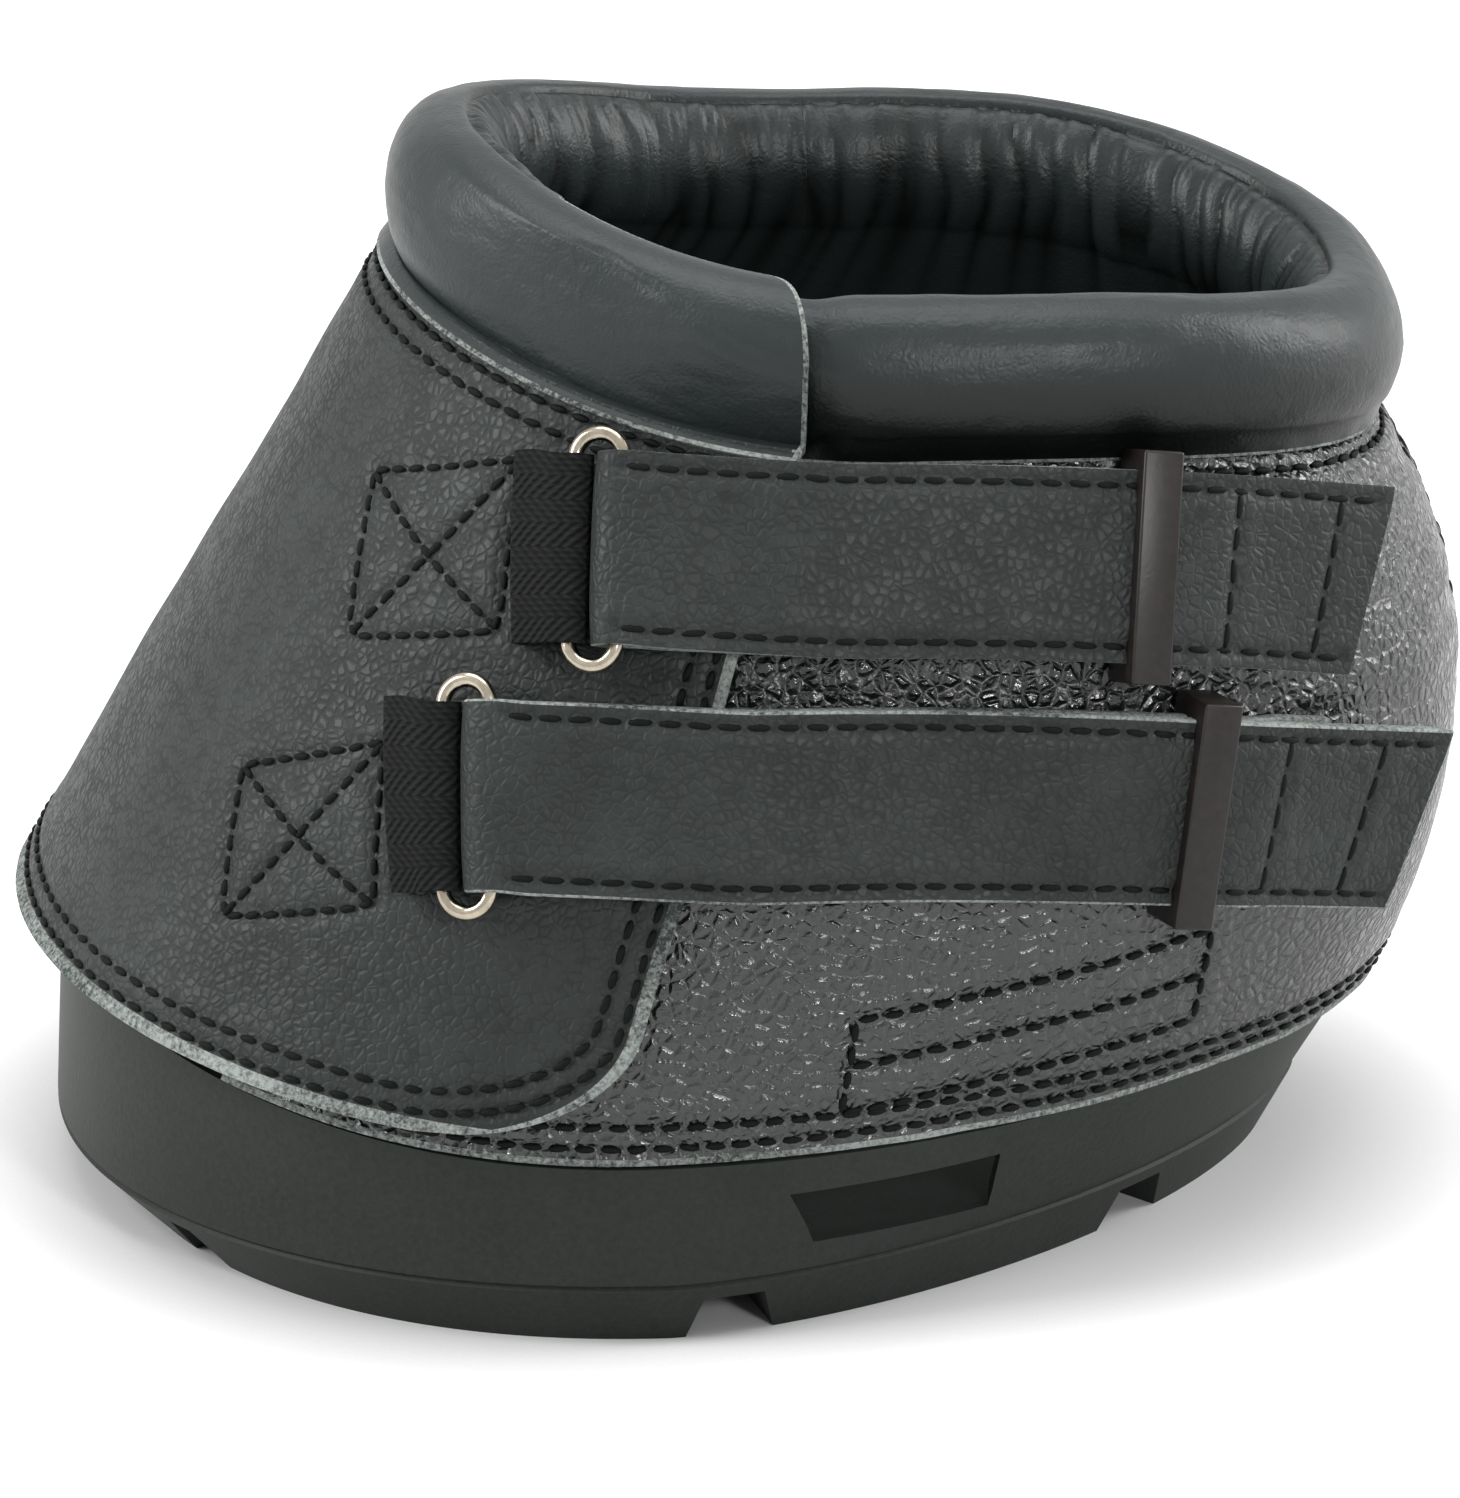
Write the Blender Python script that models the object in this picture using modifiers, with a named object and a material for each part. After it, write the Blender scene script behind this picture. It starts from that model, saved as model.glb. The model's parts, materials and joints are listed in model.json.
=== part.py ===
"""Hoof boot with a moulded rubber cup sole, a leather upper with a padded collar,
a front flap that closes over the near quarter, and two ringed straps.

The toe points to -X, the closing side to -Y, and the ground is z = 0.
Lengths are in metres. Angles round the plan run from the toe (0) over the
closing side (a quarter turn) to the heel (half a turn).
"""

import math

import bmesh
import bpy
from mathutils import Matrix, Vector

# Upper at its lower edge: reach ahead and behind, half width, widest station, heights
LOW_TOE = 0.0865
LOW_HEEL = 0.079
LOW_HALF = 0.065
LOW_WIDEST = -0.016
LOW_TOE_RISE = 0.033
LOW_SIDE_RISE = 0.0225
LOW_HEEL_RISE = 0.030

# Upper at half height
MID_TOE = 0.0625
MID_HEEL = 0.0875
MID_HALF = 0.0585
MID_WIDEST = -0.004
MID_TOE_RISE = 0.0745
MID_SIDE_RISE = 0.064
MID_HEEL_RISE = 0.063

# Upper at its top edge, under the collar
TOP_TOE = 0.0385
TOP_HEEL = 0.075
TOP_HALF = 0.0455
TOP_WIDEST = 0.016
TOP_TOE_RISE = 0.116
TOP_SIDE_RISE = 0.105
TOP_HEEL_RISE = 0.097

FRONT_FULLNESS = 2.1
REAR_FULLNESS = 2.3
SOLE_REAR_FULLNESS = 2.0

# Leather, linings and patches
SEAT_GAP = 0.0003
QUARTER_THICKNESS = 0.0022
FLAP_THICKNESS = 0.0020
LINING_THICKNESS = 0.0014
TAPE_THICKNESS = 0.0008
PATCH_THICKNESS = 0.0008
COLLAR_LEATHER = 0.0008

# Sole
GROUND_TOE = 0.079
GROUND_HEEL = 0.069
GROUND_HALF = 0.0615
WALL_TOE = 0.087
WALL_HEEL = 0.074
WALL_HALF = 0.0655
SOLE_WIDEST = -0.016
WALL_FOOT_RISE = 0.0075
FLOOR_RISE = 0.0095
WALL_THICKNESS = 0.006
WALL_PROUD = 0.0006
FLANGE_THICKNESS = 0.0024
FLANGE_GAP = 0.0005
TREAD_WIDTH = 0.022
TREAD_POCKET_DEPTH = 0.0042
GROOVE_DEPTH = 0.0055
GROOVE_WIDTH = 0.0075
GROOVE_FLARE = 0.0035
FROG_PAD_LENGTH = 0.050
DRAIN_LENGTH = 0.0225
DRAIN_HEIGHT = 0.0058
DRAIN_SLOPE = 0.003
DRAIN_STATION = 0.013
DRAIN_RISE = 0.0145
CUT_OVERRUN = 0.003

# Hinge line of the flap, on the far side
HINGE_LOW_STATION = -0.012
HINGE_LOW_SIDE = 0.0668
HINGE_LOW_RISE = 0.028
HINGE_HIGH_STATION = 0.004
HINGE_HIGH_SIDE = 0.0528
HINGE_HIGH_RISE = 0.118

# Collar roll
ROLL_HALF_WIDTH = 0.0072
ROLL_HALF_HEIGHT = 0.0097
ROLL_INSET = 0.0027
ROLL_LIFT = 0.0070
FOAM_CLEARANCE = 0.0010
FRONT_ROLL_GAP = 0.0004

# Rings and webbing
RING_LENGTH = 0.029
RING_WIDTH = 0.0076
RING_WIRE = 0.0018
WEBBING_WIDTH = 0.022
WEBBING_THICKNESS = 0.0010
SLIT_REACH = 0.0089

# Straps
STRAP_WIDTH = 0.0225
STRAP_THICKNESS = 0.0018
STRAP_SETTLE = 0.028
HOOK_THICKNESS = 0.0008
KEEPER_LENGTH = 0.005
KEEPER_BAR = 0.0015
KEEPER_END_BAR = 0.0019
KEEPER_CLEARANCE = 0.0005
KEEPER_TRAVEL = 0.003
SEWN_DROP_LENGTH = 0.0065
UPPER_KEEPER_REACH = 0.064
LOWER_KEEPER_REACH = 0.086
UPPER_TIP_LENGTH = 0.031
LOWER_TIP_LENGTH = 0.034

# Places given as turns round the plan
SMALL_TURN = 0.001
QUARTER_TURN = math.pi / 2
HALF_TURN = math.pi
HINGE_AHEAD_TURN = -0.9
HINGE_BEHIND_TURN = -2.0
NEAR_QUARTER_FRONT_TURN = 0.80
TOE_GROOVE_TURN = 0.60
SIDE_GROOVE_TURN = 1.50
HEEL_GROOVE_TURN = 2.24
TAPE_REACH_TURN = 0.14
STIFFENER_TURN = 2.04
STIFFENER_REACH_TURN = 0.26
FLAP_RISE_START_TURN = -1.25
FLAP_RISE_SPAN_TURN = 0.60
FLAP_REAR_TURN = 1.51
FLAP_LEAN_TURN = 0.14
FLAP_CORNER_TURN = 0.32
FLAP_LINING_REAR_TURN = 0.40
PATCH_FRONT_TURN = 1.17
PATCH_REAR_TURN = 1.37
HOOK_REAR_TURN = 1.40
HOOK_LEAN_TURN = 0.06
REAR_ROLL_FRONT_TURN = 0.65
FRONT_ROLL_END_TURN = 0.42
FRONT_ROLL_FADE_TURN = 0.16
FRONT_COLLAR_END_TURN = 1.33
FRONT_COLLAR_CORNER_TURN = 0.22
STRAP_CROWN_TURN = 1.5
STRAP_START_TURN = 0.5
STRAP_FINISH_TURN = 2.9
UPPER_RING_TURN = 1.095
LOWER_RING_TURN = 1.075

# Angles round the section of the collar roll, from its outer side over the top
REAR_ROLL_LOW_ANGLE = math.radians(-32)
FRONT_ROLL_LOW_ANGLE = math.radians(-40)
ROLL_INNER_ANGLE = math.radians(228)
ROLL_TOP_ANGLE = math.radians(100)

# Places given as shares of the upper's height
FLAP_LEAN_SHARE = 0.40
FLAP_CORNER_SHARE = 0.16
FLAP_TOP_SHARE = 0.965
FLAP_LIFT_SHARE = 0.04
FLAP_LINING_TOP_SHARE = 0.925
FLANGE_SHARE = 0.115
LINING_LOW_SHARE = 0.14
LINING_TOP_SHARE = 0.955
STIFFENER_TOP_SHARE = 0.27
PATCH_LOW_SHARE = 0.17
PATCH_TOP_SHARE = 0.90
COLLAR_TUCK_SHARE = 0.945
SKIRT_LOW_SHARE = 0.94
SKIRT_TOP_SHARE = 0.985
UPPER_STRAP_SHARES = {"crown_share": 0.842, "front_droop_share": 0.20, "rear_droop_share": 0.09}
LOWER_STRAP_SHARES = {"crown_share": 0.520, "front_droop_share": 0.24, "rear_droop_share": 0.125}

# Shares of the strap's tip length where the sewn end stops and the free end straightens
SEWN_END_SHARE = 0.55
STRAIGHT_SHARE = 0.45

# Rows of the flap, closer together at its rounded lower corner
FLAP_ROW_SHARES = (0.0, 0.027, 0.06, 0.10, 0.153, 0.227, 0.333, 0.467, 0.60, 0.733, 0.867, 1.0)

# Lifts off the quarters' outer face
CLOSED_LIFT = 3 * SEAT_GAP + 2 * PATCH_THICKNESS
FLAP_FACE = CLOSED_LIFT + FLAP_THICKNESS
BAR_REACH = (RING_WIDTH - RING_WIRE) / 2
BAR_FOLD = RING_WIRE / 2 + SEAT_GAP
BAR_LIFT = FLAP_FACE + SEAT_GAP + STRAP_THICKNESS + BAR_FOLD

parts = None
cutters = None


def clear_scene():
    for item in list(bpy.data.objects):
        bpy.data.objects.remove(item, do_unlink=True)


def new_collection(name):
    collection = bpy.data.collections.new(name)
    bpy.context.scene.collection.children.link(collection)
    return collection


def new_material(name, colour, roughness, metallic=0.0):
    material = bpy.data.materials.new(name)
    material.use_nodes = True
    shader = material.node_tree.nodes["Principled BSDF"]
    shader.inputs["Base Color"].default_value = (*colour, 1.0)
    shader.inputs["Roughness"].default_value = roughness
    shader.inputs["Metallic"].default_value = metallic
    return material


def add_part(name, mesh, material, smooth_angle=35.0):
    """Link a mesh to the parts collection as one named sub-part."""
    mesh.materials.clear()
    mesh.materials.append(material)
    mesh.shade_smooth()
    mesh.set_sharp_from_angle(angle=math.radians(smooth_angle))
    item = bpy.data.objects.new(name, mesh)
    parts.objects.link(item)
    return item


def add_cutter(name, mesh):
    item = bpy.data.objects.new(name, mesh)
    item.hide_render = True
    item.display_type = "WIRE"
    cutters.objects.link(item)
    return item


def cut(item, cutter):
    modifier = item.modifiers.new(cutter.name, "BOOLEAN")
    modifier.operation = "DIFFERENCE"
    modifier.solver = "EXACT"
    modifier.object = cutter


def smooth_step(share):
    share = min(max(share, 0.0), 1.0)
    return share * share * (3.0 - 2.0 * share)


def blend(low, mid, top, share):
    """Parabola through three levels of the upper."""
    return (low * (1 - share) * (1 - 2 * share)
            + 4 * mid * share * (1 - share)
            + top * share * (2 * share - 1))


def plan_point(turn, toe, heel, half, widest, rear_fullness):
    """Point on an egg-shaped plan: two half superellipses that meet at the widest station."""
    ahead = math.cos(turn)
    aside = math.sin(turn)
    fullness = FRONT_FULLNESS if ahead > 0 else rear_fullness
    reach = toe + widest if ahead > 0 else heel - widest
    station = widest - math.copysign(reach * abs(ahead) ** (2 / fullness), ahead)
    side = -math.copysign(half * abs(aside) ** (2 / fullness), aside)
    return station, side


def upper_point(turn, share):
    """Outer face of the quarters, by turn round the plan and share of the height."""
    station, side = plan_point(
        turn,
        blend(LOW_TOE, MID_TOE, TOP_TOE, share),
        blend(LOW_HEEL, MID_HEEL, TOP_HEEL, share),
        blend(LOW_HALF, MID_HALF, TOP_HALF, share),
        blend(LOW_WIDEST, MID_WIDEST, TOP_WIDEST, share),
        REAR_FULLNESS)
    side_rise = blend(LOW_SIDE_RISE, MID_SIDE_RISE, TOP_SIDE_RISE, share)
    toe_rise = blend(LOW_TOE_RISE, MID_TOE_RISE, TOP_TOE_RISE, share)
    heel_rise = blend(LOW_HEEL_RISE, MID_HEEL_RISE, TOP_HEEL_RISE, share)
    end_rise = toe_rise if math.cos(turn) > 0 else heel_rise
    rise = side_rise + (end_rise - side_rise) * math.cos(turn) ** 2
    return Vector((station, side, rise))


def upper_slopes(turn, share):
    """Changes of the outer face per turn and per share of the height."""
    by_turn = upper_point(turn + SMALL_TURN, share) - upper_point(turn - SMALL_TURN, share)
    by_share = upper_point(turn, share + SMALL_TURN) - upper_point(turn, share - SMALL_TURN)
    return by_turn / (2 * SMALL_TURN), by_share / (2 * SMALL_TURN)


def skin(turn, share, lift):
    """Point at a given lift off the outer face of the quarters."""
    by_turn, by_share = upper_slopes(turn, share)
    return upper_point(turn, share) + by_turn.cross(by_share).normalized() * lift


def spread(start, end, count):
    return [start + (end - start) * step / count for step in range(count + 1)]


def sheet(name, rows, thickness, side, material):
    """Leather or fabric piece: an open grid of points given its thickness by Solidify."""
    mesh = bpy.data.meshes.new(name)
    shape = bmesh.new()
    grid = [[shape.verts.new(point) for point in row] for row in rows]
    for lower, upper in zip(grid, grid[1:]):
        for left in range(len(lower) - 1):
            shape.faces.new((lower[left], lower[left + 1], upper[left + 1], upper[left]))
    shape.to_mesh(mesh)
    shape.free()
    item = add_part(name, mesh, material)
    wall = item.modifiers.new("thickness", "SOLIDIFY")
    wall.thickness = thickness
    wall.offset = side
    wall.use_even_offset = True
    return item


def hinge_station(rise):
    share = (rise - HINGE_LOW_RISE) / (HINGE_HIGH_RISE - HINGE_LOW_RISE)
    return HINGE_LOW_STATION + (HINGE_HIGH_STATION - HINGE_LOW_STATION) * share


def hinge_turn(point, gap):
    """Turn at which a row of points meets the plane of the hinge line, on the far side."""
    ahead, behind = HINGE_AHEAD_TURN, HINGE_BEHIND_TURN
    for _ in range(40):
        middle = (ahead + behind) / 2
        place = point(middle)
        if place.x - hinge_station(place.z) < gap:
            ahead = middle
        else:
            behind = middle
    return (ahead + behind) / 2


def heel_turn(gap):
    """Turn short of the heel line that leaves half the seam gap."""
    return (gap / 2 / TOP_HALF) ** (REAR_FULLNESS / 2)


# Sole

def wall_foot(turn, inset=0.0, rise=WALL_FOOT_RISE):
    station, side = plan_point(turn, WALL_TOE - inset, WALL_HEEL - inset, WALL_HALF - inset,
                               SOLE_WIDEST, SOLE_REAR_FULLNESS)
    return Vector((station, side, rise))


def tread_edge(turn, inset=0.0, rise=0.0):
    station, side = plan_point(turn, GROUND_TOE - inset, GROUND_HEEL - inset, GROUND_HALF - inset,
                               SOLE_WIDEST, SOLE_REAR_FULLNESS)
    return Vector((station, side, rise))


def wall_top(turn, lift):
    """Top edge of the side wall, just under the lower edge of the upper."""
    place = skin(turn, 0.0, lift)
    place.z -= SEAT_GAP
    return place


def flange_point(turn, share, depth):
    return skin(turn, share, -QUARTER_THICKNESS - FLANGE_GAP - depth)


def loft(name, rings):
    """Closed solid through rings of points, first and last ring capped."""
    mesh = bpy.data.meshes.new(name)
    shape = bmesh.new()
    loops = [[shape.verts.new(point) for point in ring] for ring in rings]
    count = len(rings[0])
    for lower, upper in zip(loops, loops[1:]):
        for index in range(count):
            following = (index + 1) % count
            shape.faces.new((lower[index], lower[following], upper[following], upper[index]))
    shape.faces.new(list(reversed(loops[0])))
    shape.faces.new(loops[-1])
    bmesh.ops.recalc_face_normals(shape, faces=shape.faces)
    shape.to_mesh(mesh)
    shape.free()
    return mesh


def prism(name, outline, low, high):
    """Upright prism over a plan outline."""
    return loft(name, [[Vector((x, y, low)) for x, y in outline],
                       [Vector((x, y, high)) for x, y in outline]])


def tread_pocket(front):
    """Hollow inside the tread ring, ahead of or behind the pad under the frog."""
    middle = 0.0 if front else HALF_TURN
    reach = FROG_PAD_LENGTH / 2
    outline = []
    for turn in spread(middle - QUARTER_TURN, middle + QUARTER_TURN, 24):
        edge = tread_edge(turn, TREAD_WIDTH)
        if abs(edge.x) > reach and (edge.x < 0) == front:
            outline.append((edge.x, edge.y))
    return prism("tread_pocket", outline, -CUT_OVERRUN, TREAD_POCKET_DEPTH)


def groove(turn, width):
    """Drainage groove across the tread ring, wider at the ground."""
    edge = tread_edge(turn)
    ahead = tread_edge(turn + SMALL_TURN) - edge
    along = ahead.normalized()
    outward = Vector((along.y, -along.x, 0.0))
    if outward.dot(edge) < 0:
        outward = -outward
    start = edge - outward * (TREAD_WIDTH + CUT_OVERRUN)
    end = edge + outward * (WALL_THICKNESS + CUT_OVERRUN)
    rings = []
    for place in (start, end):
        top = width / 2
        foot = top + GROOVE_FLARE / 2 * (GROOVE_DEPTH + CUT_OVERRUN) / GROOVE_DEPTH
        rings.append([place - along * foot - Vector((0, 0, CUT_OVERRUN)),
                      place + along * foot - Vector((0, 0, CUT_OVERRUN)),
                      place + along * top + Vector((0, 0, GROOVE_DEPTH)),
                      place - along * top + Vector((0, 0, GROOVE_DEPTH))])
    return loft("groove", rings)


def drain(sign):
    """Slot through the side wall with sloped ends."""
    half = DRAIN_LENGTH / 2
    low = DRAIN_RISE - DRAIN_HEIGHT / 2
    high = DRAIN_RISE + DRAIN_HEIGHT / 2
    inner = sign * (WALL_HALF - WALL_THICKNESS - 2 * CUT_OVERRUN)
    outer = sign * (WALL_HALF + CUT_OVERRUN)
    rings = []
    for side in (inner, outer):
        rings.append([Vector((DRAIN_STATION - half + DRAIN_SLOPE, side, low)),
                      Vector((DRAIN_STATION + half - DRAIN_SLOPE / 2, side, low)),
                      Vector((DRAIN_STATION + half, side, high)),
                      Vector((DRAIN_STATION - half, side, high))])
    return loft("drain", rings)


def make_outsole(material):
    turns = spread(0.0, 2 * HALF_TURN, 72)[:-1]
    rings = [
        [tread_edge(turn) for turn in turns],
        [wall_foot(turn) for turn in turns],
        [wall_top(turn, WALL_PROUD) for turn in turns],
        [wall_top(turn, -QUARTER_THICKNESS - FLANGE_GAP) for turn in turns],
        [flange_point(turn, FLANGE_SHARE, 0.0) for turn in turns],
        [flange_point(turn, FLANGE_SHARE, FLANGE_THICKNESS) for turn in turns],
        [flange_point(turn, 0.0, FLANGE_THICKNESS) for turn in turns],
        [wall_foot(turn, WALL_THICKNESS, FLOOR_RISE) for turn in turns]]
    sole = add_part("outsole", loft("outsole", rings), material)
    for front in (True, False):
        cut(sole, add_cutter("tread_pocket_cutter", tread_pocket(front)))
    grooves = ((TOE_GROOVE_TURN, GROOVE_WIDTH / 2),
               (SIDE_GROOVE_TURN, GROOVE_WIDTH),
               (HEEL_GROOVE_TURN, GROOVE_WIDTH))
    for sign in (1, -1):
        for turn, width in grooves:
            cut(sole, add_cutter("groove_cutter", groove(sign * turn, width)))
        cut(sole, add_cutter("drain_cutter", drain(sign)))
    return sole


# Upper

def panel_rows(start, end, columns, shares, lift):
    """Rows of points between two turns; the ends may depend on the row."""
    rows = []
    for share in shares:
        first = start(share) if callable(start) else start
        last = end(share) if callable(end) else end
        rows.append([skin(turn, share, lift) for turn in spread(first, last, columns)])
    return rows


def far_edge(lift):
    """Turn of the far pieces' front edge along the hinge line, row by row."""
    return lambda share: 2 * HALF_TURN + hinge_turn(
        lambda turn: skin(turn, share, lift), SEAT_GAP / 2)


def make_quarters(leather):
    seam = heel_turn(SEAT_GAP)
    shares = spread(0.0, 1.0, 9)
    sheet("near_quarter",
          panel_rows(NEAR_QUARTER_FRONT_TURN, HALF_TURN - seam, 26, shares, -QUARTER_THICKNESS),
          QUARTER_THICKNESS, 1.0, leather)
    sheet("far_quarter",
          panel_rows(HALF_TURN + seam, far_edge(-QUARTER_THICKNESS), 20, shares,
                     -QUARTER_THICKNESS),
          QUARTER_THICKNESS, 1.0, leather)


def make_inner_patches(tape, lining):
    patch_lift = -QUARTER_THICKNESS - SEAT_GAP - TAPE_THICKNESS
    lining_lift = patch_lift - SEAT_GAP - LINING_THICKNESS
    shares = spread(LINING_LOW_SHARE, LINING_TOP_SHARE, 6)
    sheet("heel_seam_tape",
          panel_rows(HALF_TURN - TAPE_REACH_TURN, HALF_TURN + TAPE_REACH_TURN, 4, shares,
                     patch_lift),
          TAPE_THICKNESS, 1.0, tape)
    for name, middle in (("near_stiffener", STIFFENER_TURN),
                         ("far_stiffener", 2 * HALF_TURN - STIFFENER_TURN)):
        sheet(name, panel_rows(middle - STIFFENER_REACH_TURN, middle + STIFFENER_REACH_TURN, 6,
                               spread(LINING_LOW_SHARE, STIFFENER_TOP_SHARE, 2), patch_lift),
              TAPE_THICKNESS, 1.0, tape)
    seam = heel_turn(SEAT_GAP) * 2
    sheet("near_lining",
          panel_rows(NEAR_QUARTER_FRONT_TURN, HALF_TURN - seam, 20, shares, lining_lift),
          LINING_THICKNESS, 1.0, lining)
    sheet("far_lining",
          panel_rows(HALF_TURN + seam, far_edge(lining_lift), 16, shares, lining_lift),
          LINING_THICKNESS, 1.0, lining)


# Flap

def flap_inner_lift(turn):
    """The flap leaves the far quarter's face and rises over the near quarter."""
    risen = smooth_step((turn - FLAP_RISE_START_TURN) / FLAP_RISE_SPAN_TURN)
    return -QUARTER_THICKNESS + (CLOSED_LIFT + QUARTER_THICKNESS) * risen


def lean(share):
    """How far up the slanting part of the flap's rear edge a row is."""
    return max(0.0, (share - FLAP_LEAN_SHARE) / (1 - FLAP_LEAN_SHARE))


def flap_rear_turn(share):
    """Rear edge of the flap, leaning forward at the top and rounded at the lower corner."""
    edge = FLAP_REAR_TURN - FLAP_LEAN_TURN * lean(share)
    rise = share - FLAP_LIFT_SHARE
    if rise < FLAP_CORNER_SHARE:
        drop = 1 - max(rise, 0.0) / FLAP_CORNER_SHARE
        edge -= FLAP_CORNER_TURN * (1 - math.sqrt(1 - drop * drop))
    return edge


def flap_point(turn, share, extra=0.0):
    low = FLAP_LIFT_SHARE * math.sin(turn) ** 2
    height = low + (FLAP_TOP_SHARE - low) * share
    return skin(turn, height, flap_inner_lift(turn) + extra)


def make_flap(leather, lining, hook):
    rows = []
    for level in FLAP_ROW_SHARES:
        far = hinge_turn(lambda turn: flap_point(turn, level), -SEAT_GAP / 2)
        near = flap_rear_turn(FLAP_LIFT_SHARE + (FLAP_TOP_SHARE - FLAP_LIFT_SHARE) * level)
        rows.append([flap_point(turn, level) for turn in spread(far, near, 32)])
    flap = sheet("front_flap", rows, FLAP_THICKNESS, 1.0, leather)

    lining_drop = LINING_THICKNESS + SEAT_GAP
    rows = []
    for share in spread(LINING_LOW_SHARE, FLAP_LINING_TOP_SHARE, 6):
        def lining_point(turn):
            return skin(turn, share, flap_inner_lift(turn) - lining_drop)
        far = hinge_turn(lining_point, -SEAT_GAP)
        rows.append([lining_point(turn) for turn in spread(far, FLAP_LINING_REAR_TURN, 20)])
    sheet("flap_lining", rows, LINING_THICKNESS, 1.0, lining)

    shares = spread(PATCH_LOW_SHARE, PATCH_TOP_SHARE, 6)
    sheet("quarter_loop_patch",
          panel_rows(PATCH_FRONT_TURN, PATCH_REAR_TURN, 4, shares, SEAT_GAP),
          PATCH_THICKNESS, 1.0, hook)
    sheet("flap_hook_patch",
          panel_rows(PATCH_FRONT_TURN, lambda share: HOOK_REAR_TURN - HOOK_LEAN_TURN * lean(share),
                     4, shares, 2 * SEAT_GAP + PATCH_THICKNESS),
          PATCH_THICKNESS, 1.0, hook)
    return flap


# Collar

def roll_point(turn, angle, extra):
    """Point on the collar roll; the angle runs from its outer side (0) over the top."""
    base = upper_point(turn, 1.0)
    by_turn, _ = upper_slopes(turn, 1.0)
    outward = Vector((by_turn.y, -by_turn.x, 0.0)).normalized()
    centre = base - outward * ROLL_INSET + Vector((0.0, 0.0, ROLL_LIFT))
    return (centre + outward * (ROLL_HALF_WIDTH + extra) * math.cos(angle)
            + Vector((0.0, 0.0, (ROLL_HALF_HEIGHT + extra) * math.sin(angle))))


def make_rear_collar(leather, foam):
    skirt = SEAT_GAP + COLLAR_LEATHER / 2
    tuck = -QUARTER_THICKNESS - TAPE_THICKNESS - LINING_THICKNESS - 3 * SEAT_GAP - COLLAR_LEATHER / 2
    angles = spread(REAR_ROLL_LOW_ANGLE, ROLL_INNER_ANGLE, 11)
    courses = [lambda turn: skin(turn, 1.0, skirt)]
    courses += [lambda turn, angle=angle: roll_point(turn, angle, 0.0) for angle in angles]
    courses += [lambda turn: skin(turn, COLLAR_TUCK_SHARE, tuck)]
    rows = []
    for course in courses:
        far = 2 * HALF_TURN + hinge_turn(course, SEAT_GAP / 2)
        rows.append([course(turn) for turn in spread(REAR_ROLL_FRONT_TURN, far, 32)])
    sheet("rear_collar_cover", rows, COLLAR_LEATHER, 0.0, leather)
    make_foam("rear_collar_foam", REAR_ROLL_FRONT_TURN + 10 * SMALL_TURN, None, 0.0, foam)


def foam_ring(turn_of, extra):
    """Section of the collar foam, standing on the top edge of the upper."""
    half_width = ROLL_HALF_WIDTH + extra - COLLAR_LEATHER / 2 - FOAM_CLEARANCE
    top = ROLL_LIFT + ROLL_HALF_HEIGHT + extra - COLLAR_LEATHER / 2 - FOAM_CLEARANCE
    foot = 2 * SEAT_GAP
    ring = []
    for angle in spread(0.0, 2 * HALF_TURN, 10)[:-1]:
        def section_point(turn):
            base = upper_point(turn, 1.0)
            by_turn, _ = upper_slopes(turn, 1.0)
            outward = Vector((by_turn.y, -by_turn.x, 0.0)).normalized()
            return (base + outward * (half_width * math.cos(angle) - ROLL_INSET)
                    + Vector((0, 0, (top + foot) / 2 + (top - foot) / 2 * math.sin(angle))))
        ring.append(section_point(turn_of(section_point)))
    return ring


def make_foam(name, start, end, extra, material):
    """Foam core of a collar roll; an end of None lies on the hinge plane."""
    def turn_at(share, section_point):
        first = hinge_turn(section_point, -2 * SEAT_GAP) if start is None else start
        last = 2 * HALF_TURN + hinge_turn(section_point, 2 * SEAT_GAP) if end is None else end
        return first + (last - first) * share

    count = 30 if start is not None else 18
    rings = [foam_ring(lambda point, share=step / count: turn_at(share, point), extra)
             for step in range(count + 1)]
    add_part(name, loft(name, rings), material)


def make_front_collar(leather, foam):
    extra = COLLAR_LEATHER + FRONT_ROLL_GAP
    skirt = 2 * SEAT_GAP + 1.5 * COLLAR_LEATHER

    def skirt_point(turn, share):
        rear_drop = flap_inner_lift(turn) - flap_inner_lift(0.0)
        return skin(turn, share, skirt + rear_drop)

    def front_roll_point(turn, share):
        fade = smooth_step((turn - FRONT_ROLL_END_TURN) / FRONT_ROLL_FADE_TURN)
        top_angle = ROLL_INNER_ANGLE + (ROLL_TOP_ANGLE - ROLL_INNER_ANGLE) * fade
        angle = FRONT_ROLL_LOW_ANGLE + (top_angle - FRONT_ROLL_LOW_ANGLE) * share
        return roll_point(turn, angle, extra)

    def near_end(share):
        return FRONT_COLLAR_END_TURN - FRONT_COLLAR_CORNER_TURN * (1 - math.sqrt(1 - share ** 4))

    courses = [(0.0, lambda turn: skirt_point(turn, SKIRT_LOW_SHARE)),
               (0.0, lambda turn: skirt_point(turn, SKIRT_TOP_SHARE))]
    courses += [(share, lambda turn, share=share: front_roll_point(turn, share))
                for share in spread(0.0, 1.0, 12)]
    rows = []
    for share, course in courses:
        far = hinge_turn(course, -1.5 * SEAT_GAP)
        rows.append([course(turn) for turn in spread(far, near_end(share), 30)])
    sheet("front_collar_cover", rows, COLLAR_LEATHER, 0.0, leather)
    make_foam("front_collar_foam", None, FRONT_ROLL_END_TURN, extra, foam)


# Straps

def strap_share(strap, turn):
    ahead = turn < STRAP_CROWN_TURN
    droop = strap["front_droop_share"] if ahead else strap["rear_droop_share"]
    return strap["crown_share"] - droop * (turn - STRAP_CROWN_TURN) ** 2


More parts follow.
